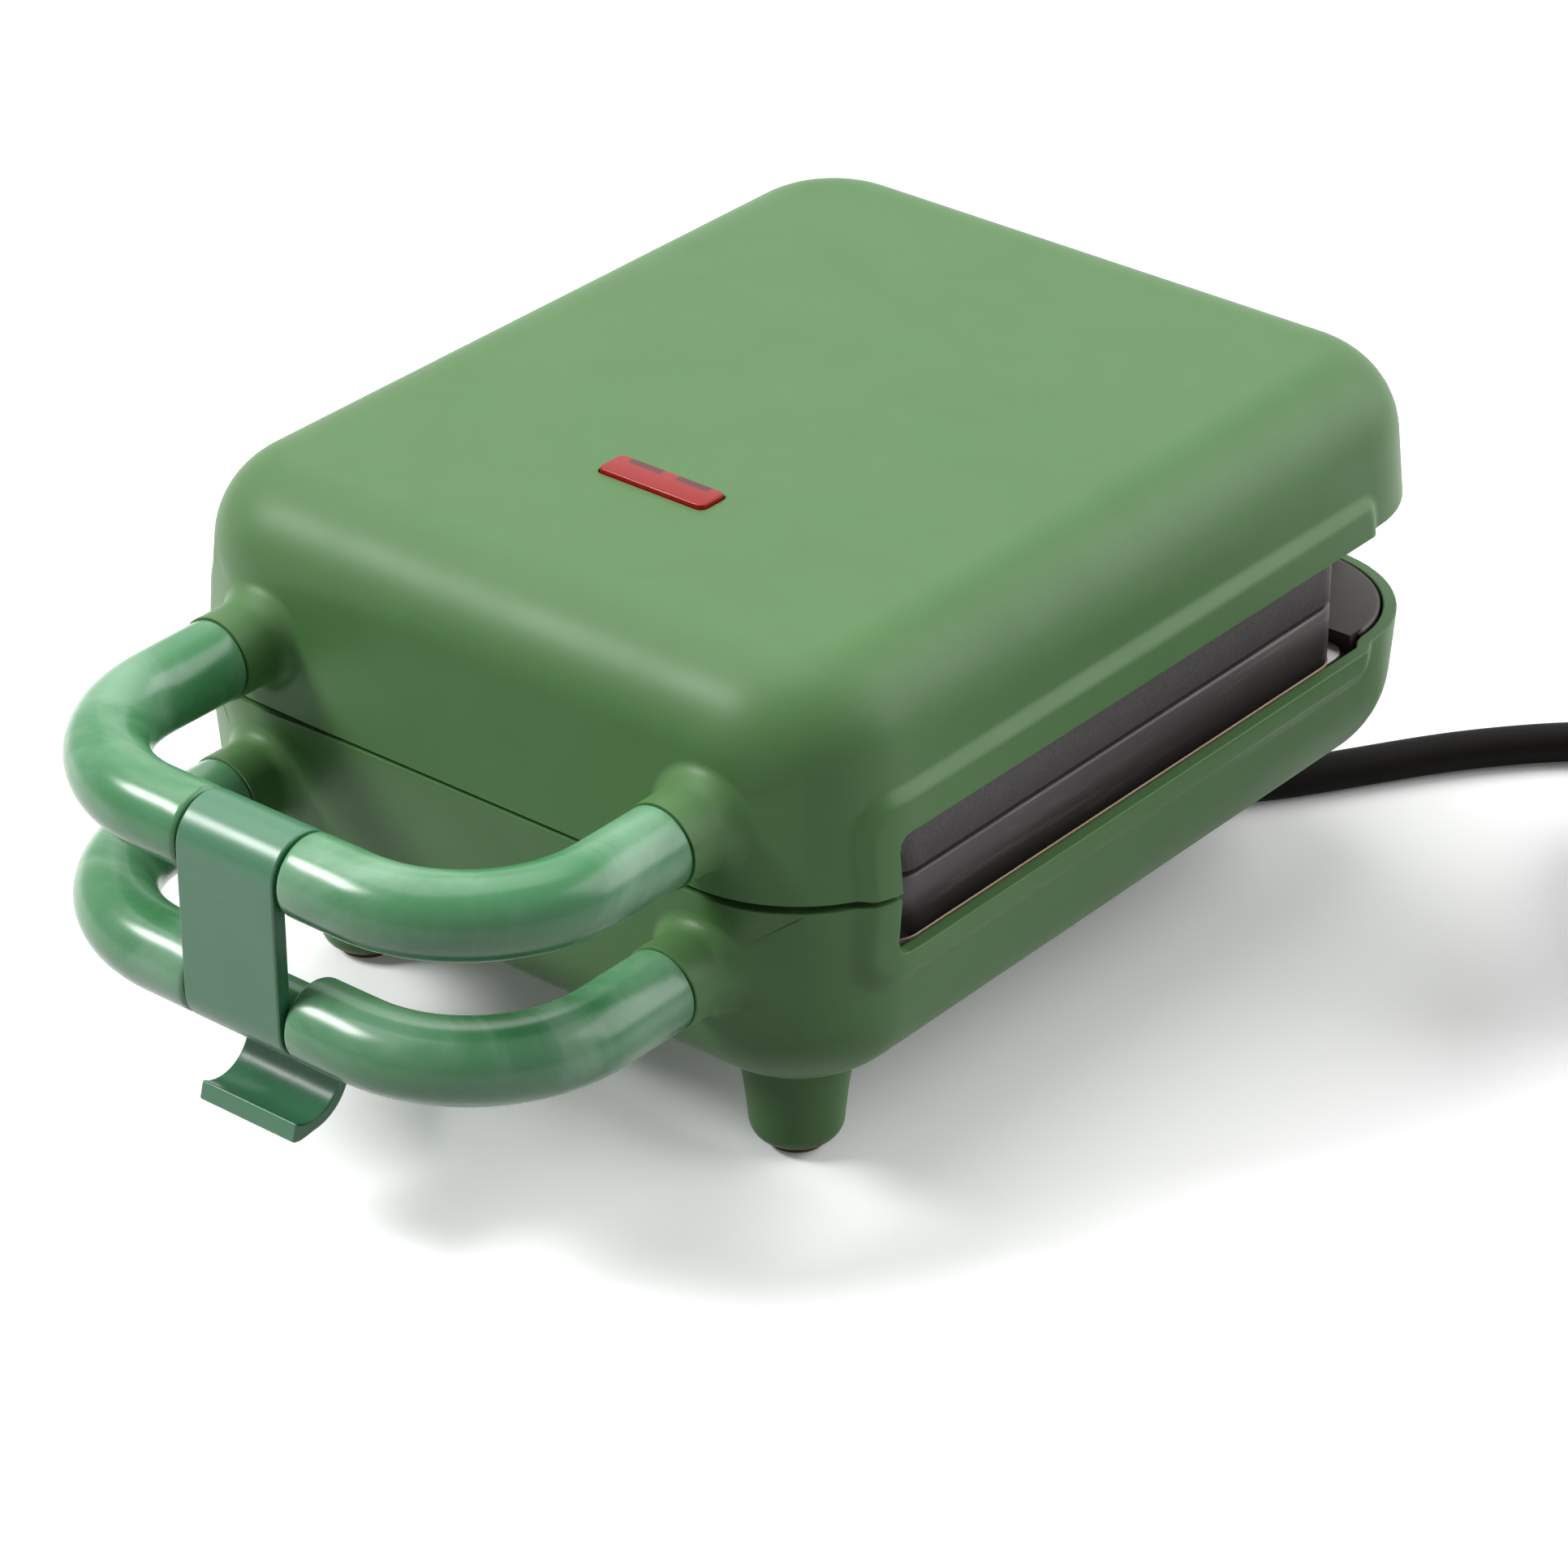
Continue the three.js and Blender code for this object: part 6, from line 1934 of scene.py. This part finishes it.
        def loop(grow: float, radius: float) -> list[Flat]:
            """Gives a rounded loop in the plane across the bundle."""
            ring = rounded_ring((high - low) / 2 + grow, (top - bottom) / 2 + grow, radius, 0.0,
                                ((low + high) / 2, (top + bottom) / 2))
            return [(x, y) for x, y, _ in ring]

        corners = self.tie_corners
        outer, inner = loop(self.tie_thick, corners[0]), loop(0.0, corners[1])
        across = np.linspace(-self.tie_half, self.tie_half, 9)
        points = [(x, y, z) for y in across for x, z in outer]
        points += [(x, y, z) for y in across[::-1] for x, z in inner]
        faces = grid_faces(2 * len(across), len(outer), True)
        band = self.rubber("coil_tie", (points, faces))
        self.turn_into_place(band, (self.coil_x, self.coil_y, 0.0), self.tie_degrees)
        return dress(band, "base", "cord_black", "cord_tie")

    def build(self) -> None:
        line = self.line()
        flex = self.strands.along("mains_lead", line, [self.radius] * len(line), 20,
                                  self.paints[LEAD])
        dress(flex, "base", "cord_black", "power_cord", "cord_coil", "plug_lead")
        self.relief()
        body, pins = self.plug()
        tie = self.tie()
        path = metres(line)
        tuple(path[0])
        2 * self.radius * MM


@dataclass
class PlateEdges:
    """The plates' turned edges, the rim of the lower reflector and the base deck's rear corners.

    Attributes:
        paints: The materials.
        half_x: Half of a plate's width.
        half_y: Half of its depth.
        middle: Its middle.
        corner: Radius of its corners.
        sheet: Thickness of the bands.
        deck_middle: Middle of the right deck corner's rounding.
        deck_radii: Inner and outer radius of that rounding.
        deck_heights: Its lower and upper end.
        deck_edge: Slope of its upper edge.
    """

    paints: Paints
    half_x: float = 62.1
    half_y: float = 55.6
    middle: Flat = (0.0, -3.0)
    corner: float = 5.0
    sheet: float = 0.55
    deck_middle: Flat = (43.5, 58.05)
    deck_radii: Flat = (15.5, 18.5)
    deck_heights: Flat = (41.3, 42.49)
    deck_edge: float = 0.3

    def band(self, name: str, low: float, high: float, grow: float, finish: Finish) -> Obj:
        """Builds a closed upright band round the plate.

        Args:
            name: Name of the piece.
            low: Its lower edge.
            high: Its upper edge.
            grow: How far it stands out beyond the plate's edge.
            finish: Its finish.

        Returns:
            The band.
        """
        half_x, half_y = self.half_x + grow, self.half_y + grow
        layers = ((0.0, low), (0.0, high - 0.5), (0.15, high - 0.15), (0.5, high),
                  (self.sheet, high), (self.sheet, low))
        rings = [rounded_ring(half_x - inset, half_y - inset, self.corner, z, self.middle)
                 for inset, z in layers]
        points = [point for ring in rings for point in ring]
        faces = grid_faces(len(rings), len(rings[0]), True)
        return solid(name, (points, faces), self.paints[finish])

    def deck_corner(self, sign: int) -> Obj:
        """Builds the smooth rounded edge of one rear corner of the base's deck.

        Args:
            sign: -1 for the left corner and 1 for the right one.

        Returns:
            The corner's edge.
        """
        (x, y), (inner, outer), (low, top) = self.deck_middle, self.deck_radii, self.deck_heights
        turns = [math.radians(degrees) for degrees in range(0, 91, 5)]
        layers = ((inner, low), (outer, low), (outer, top - self.deck_edge),
                  (outer - self.deck_edge, top), (inner, top))
        points = [(sign * (x + radius * math.cos(turn)), y + radius * math.sin(turn), z)
                  for radius, z in layers for turn in turns]
        count, rows = len(turns), len(layers)
        starts = range(0, rows * count, count)
        faces = grid_faces(rows, count, False)
        faces += [tuple(starts), tuple(start + count - 1 for start in reversed(starts))]
        return solid("deck_corner", (points, faces), self.paints[DECK])

    def build(self) -> None:
        """Builds the bands of both halves and the deck's corners."""
        for name, low, high, grow, finish, body, slot in (
                ("lower_plate_edge", 40.78, 50.7, 0.0, PLATE_EDGE, "base", "plate_coated"),
                ("upper_plate_edge", 51.7, 60.6, 0.0, PLATE, "lid", "plate_coated"),
                ("lower_reflector_rim", 40.3, 40.77, 0.2, RIM, "base", "sheet_bright")):
            dress(self.band(name, low, high, grow, finish), body, slot)
        corners = [self.deck_corner(sign) for sign in (-1, 1)]
        dress(joined("lower_deck_corners", corners), "base", "frame_dark")


COATS: dict[Finish, tuple[str, ...]] = {
    PLATE: ("upper_plate", "lower_plate"),
    DECK: ("upper_frame", "lower_frame", "upper_plate_latch", "lower_plate_latch", "lamp_holder"),
    REFLECTOR: ("upper_reflector", "lower_reflector"),
    HEATER: ("upper_heater", "lower_heater"),
    CERAMIC: ("upper_thermostat", "lower_thermostat", "terminal_block"),
    STEEL: ("hinge_pin_left", "hinge_pin_right", "thermal_fuse"),
    AMBER: ("power_lamp",),
    LAMP_GREEN: ("ready_lamp",),
    BLUE: ("neutral_core", "neutral_wire"),
    BROWN: ("live_core", "live_wire"),
    STRIPED: ("earth_core", "earth_wire"),
    WHITE: ("fuse_wire", "heater_wire", "lamp_wire"),
}


@dataclass
class InnerParts:
    """CAD nodes whose shape is right: they get their finishes here."""

    paints: Paints

    def build(self) -> None:
        """Gives each shown CAD node its finish."""
        for finish, names in COATS.items():
            for name in names:
                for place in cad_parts[name].material_slots:
                    place.material = self.paints[finish]
                LOG.info("%s keeps its CAD shape in %s", name, finish.name)


# ---------------------------------------------------------------- studio


def grey(level: float) -> tuple[float, float, float, float]:
    """Gives a colour without hue."""
    return level, level, level, 1.0


@dataclass(frozen=True)
class SoftLamp:
    """One soft rectangular lamp.

    Attributes:
        name: Name of the lamp.
        place: Where it stands, in own millimetres.
        size: Width and height in millimetres.
        power: Power in watts.
        aim: What it points at.
    """

    name: str
    place: Point
    size: Flat
    power: float
    aim: Point = (0.0, 0.0, 50.0)

    def build(self) -> None:
        """Builds the lamp."""
        data = bpy.data.lights.new(self.name, "AREA")
        data.shape = "RECTANGLE"
        data.size, data.size_y = self.size[0] * MM, self.size[1] * MM
        data.energy = self.power
        obj = bpy.data.objects.new(self.name, data)
        start, end = (Vector(place) for place in metres([self.place, self.aim]))
        facing = (end - start).to_track_quat("-Z", "Y").to_matrix().to_4x4()
        obj.matrix_world = Matrix.Translation(start) @ facing
        bpy.context.scene.collection.objects.link(obj)


LAMPS = (SoftLamp("key", (-900.0, 300.0, 2800.0), (2600.0, 2600.0), 56.0),
         SoftLamp("front", (-1480.0, -1350.0, 1800.0), (1000.0, 600.0), 55.0),
         SoftLamp("fill", (1600.0, 1800.0, 1500.0), (3000.0, 2200.0), 64.0),
         SoftLamp("sheen", (-1300.0, 1600.0, 1250.0), (1600.0, 1000.0), 2.5, (0.0, 0.0, 80.0)))


@dataclass
class Studio:
    """Camera, floor and light.

    Attributes:
        azimuth: The camera's angle round the part in degrees, from the front to the right.
        elevation: Its angle above the floor in degrees.
        roll: Its turn about its own axis in degrees.
        distance: Its distance from the target.
        focal_pixels: Its focal length in pixels of the photograph.
        frame_pixels: Width of the photograph's frame in pixels.
        sensor: Width of its sensor in millimetres.
        target: What it points at.
        ambient: Strength of the even light.
        floor_half: Half of the floor's width.
        floor_colour: Brightness of the floor where it is seen.
        floor_bounce: Brightness of the floor for the light that it throws back.
        floor_shine: Strength of the floor's own white.
        floor_lift: Share of that white near the part.
        floor_fade: Distances in metres over which that share rises to 1.
    """

    azimuth: float = 39.43
    elevation: float = 30.09
    roll: float = -0.18
    distance: float = 899.22
    focal_pixels: float = 7240.53
    frame_pixels: float = 1932.0
    sensor: float = 36.0
    target: Point = (9.8, -19.99, 31.13)
    ambient: float = 0.11
    floor_half: float = 3000.0
    floor_colour: float = 1.25
    floor_bounce: float = 0.15
    floor_shine: float = 1.15
    floor_lift: float = 0.06
    floor_fade: Flat = (0.4, 0.9)

    def axes(self) -> tuple[Vector, Vector, Vector]:
        """Gives the camera's directions.

        Returns:
            Right, up and back.
        """
        a, e, r = (math.radians(v) for v in (self.azimuth, self.elevation, self.roll))
        back = Vector((math.sin(a) * math.cos(e), -math.cos(a) * math.cos(e), math.sin(e)))
        right = Vector((math.cos(a), math.sin(a), 0.0))
        up = back.cross(right)
        return (math.cos(r) * right + math.sin(r) * up, -math.sin(r) * right + math.cos(r) * up,
                back)

    def camera(self) -> None:
        """Sets the camera at the photograph's viewing angle."""
        right, up, back = self.axes()
        place = Vector(metres([self.target])[0]) + back * self.distance * MM
        data = bpy.data.cameras.new("view")
        data.sensor_width = self.sensor
        data.lens = self.focal_pixels / self.frame_pixels * self.sensor
        data.clip_end = 20.0
        obj = bpy.data.objects.new("view", data)
        facing = Matrix((right, up, back)).transposed().to_4x4()
        obj.matrix_world = Matrix.Translation(place) @ facing
        bpy.context.scene.collection.objects.link(obj)
        bpy.context.scene.camera = obj

    def seen_white(self, wires: Wiring) -> Socket:
        """Adds the mask of rays that see the background, straight or through metal and glass.

        Args:
            wires: Wiring of the floor's material or of the world.

        Returns:
            The mask's socket.
        """
        rays = wires.add("ShaderNodeLightPath").outputs
        mask = wires.maths("ADD", rays["Is Camera Ray"], rays["Is Glossy Ray"], clamp=True)
        return wires.maths("ADD", mask, rays["Is Transmission Ray"], clamp=True)

    def world(self) -> None:
        """Makes an even pale surround."""
        world = bpy.data.worlds.new("surround")
        bpy.context.scene.world = world
        world.use_nodes = True
        world.node_tree.nodes.clear()
        wires = Wiring(world.node_tree)
        light, seen = (wires.add("ShaderNodeBackground", {"Color": grey(1.0), "Strength": strength})
                       for strength in (self.ambient, 1.0))
        mix, out = wires.add("ShaderNodeMixShader"), wires.add("ShaderNodeOutputWorld")
        wires.link((self.seen_white(wires), mix.inputs[0]), (light.outputs[0], mix.inputs[1]),
                   (seen.outputs[0], mix.inputs[2]), (mix.outputs[0], out.inputs[0]))

    def floor(self) -> None:
        """Makes the floor, which keeps the shadow near the part and is plain white far away."""
        paint = bpy.data.materials.new("floor_white")
        paint.use_nodes = True
        paint.node_tree.nodes.clear()
        wires = Wiring(paint.node_tree)
        seen, bounce = (wires.add("ShaderNodeBsdfDiffuse", {"Color": grey(level)})
                        for level in (self.floor_colour, self.floor_bounce))
        shine = wires.add("ShaderNodeEmission", {"Color": grey(1.0), "Strength": self.floor_shine})
        lifted, both = wires.add("ShaderNodeMixShader"), wires.add("ShaderNodeMixShader")
        places = wires.add("ShaderNodeTexCoord").outputs["Object"]
        away = wires.add("ShaderNodeVectorMath", operation="LENGTH")
        near, far = self.floor_fade
        fade = wires.add("ShaderNodeMapRange", {"From Min": near, "From Max": far,
                                                "To Min": self.floor_lift, "To Max": 1.0})
        out = wires.add("ShaderNodeOutputMaterial")
        wires.link((places, away.inputs[0]), (away.outputs["Value"], fade.inputs["Value"]),
                   (fade.outputs["Result"], lifted.inputs[0]), (seen.outputs[0], lifted.inputs[1]),
                   (shine.outputs[0], lifted.inputs[2]), (self.seen_white(wires), both.inputs[0]),
                   (bounce.outputs[0], both.inputs[1]), (lifted.outputs[0], both.inputs[2]),
                   (both.outputs[0], out.inputs[0]))
        half = self.floor_half
        corners = [(-half, -half, 0.0), (half, -half, 0.0), (half, half, 0.0), (-half, half, 0.0)]
        mesh_object("floor", corners, [(0, 1, 2, 3)], paint, smooth=False)

    def build(self) -> None:
        """Builds the whole studio."""
        bpy.context.scene.view_settings.view_transform = "Standard"
        self.camera()
        self.world()
        self.floor()
        for lamp in LAMPS:
            lamp.build()


def main() -> None:
    """Builds the studio, the lead and every sub-assembly in order."""
    logging.basicConfig(level=logging.INFO, format="%(name)s %(message)s")
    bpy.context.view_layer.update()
    paints, strands, repeats = Paints(), StrandTree(), RepeatTree()
    Studio().build()
    Lead(paints, strands).build()
    Housing(paints).build()
    Grips(paints, strands).build()
    Lens(paints).build()
    Fixings(paints, repeats).build()
    PlateEdges(paints).build()
    InnerParts(paints).build()


if __name__ == "__main__":
    main()
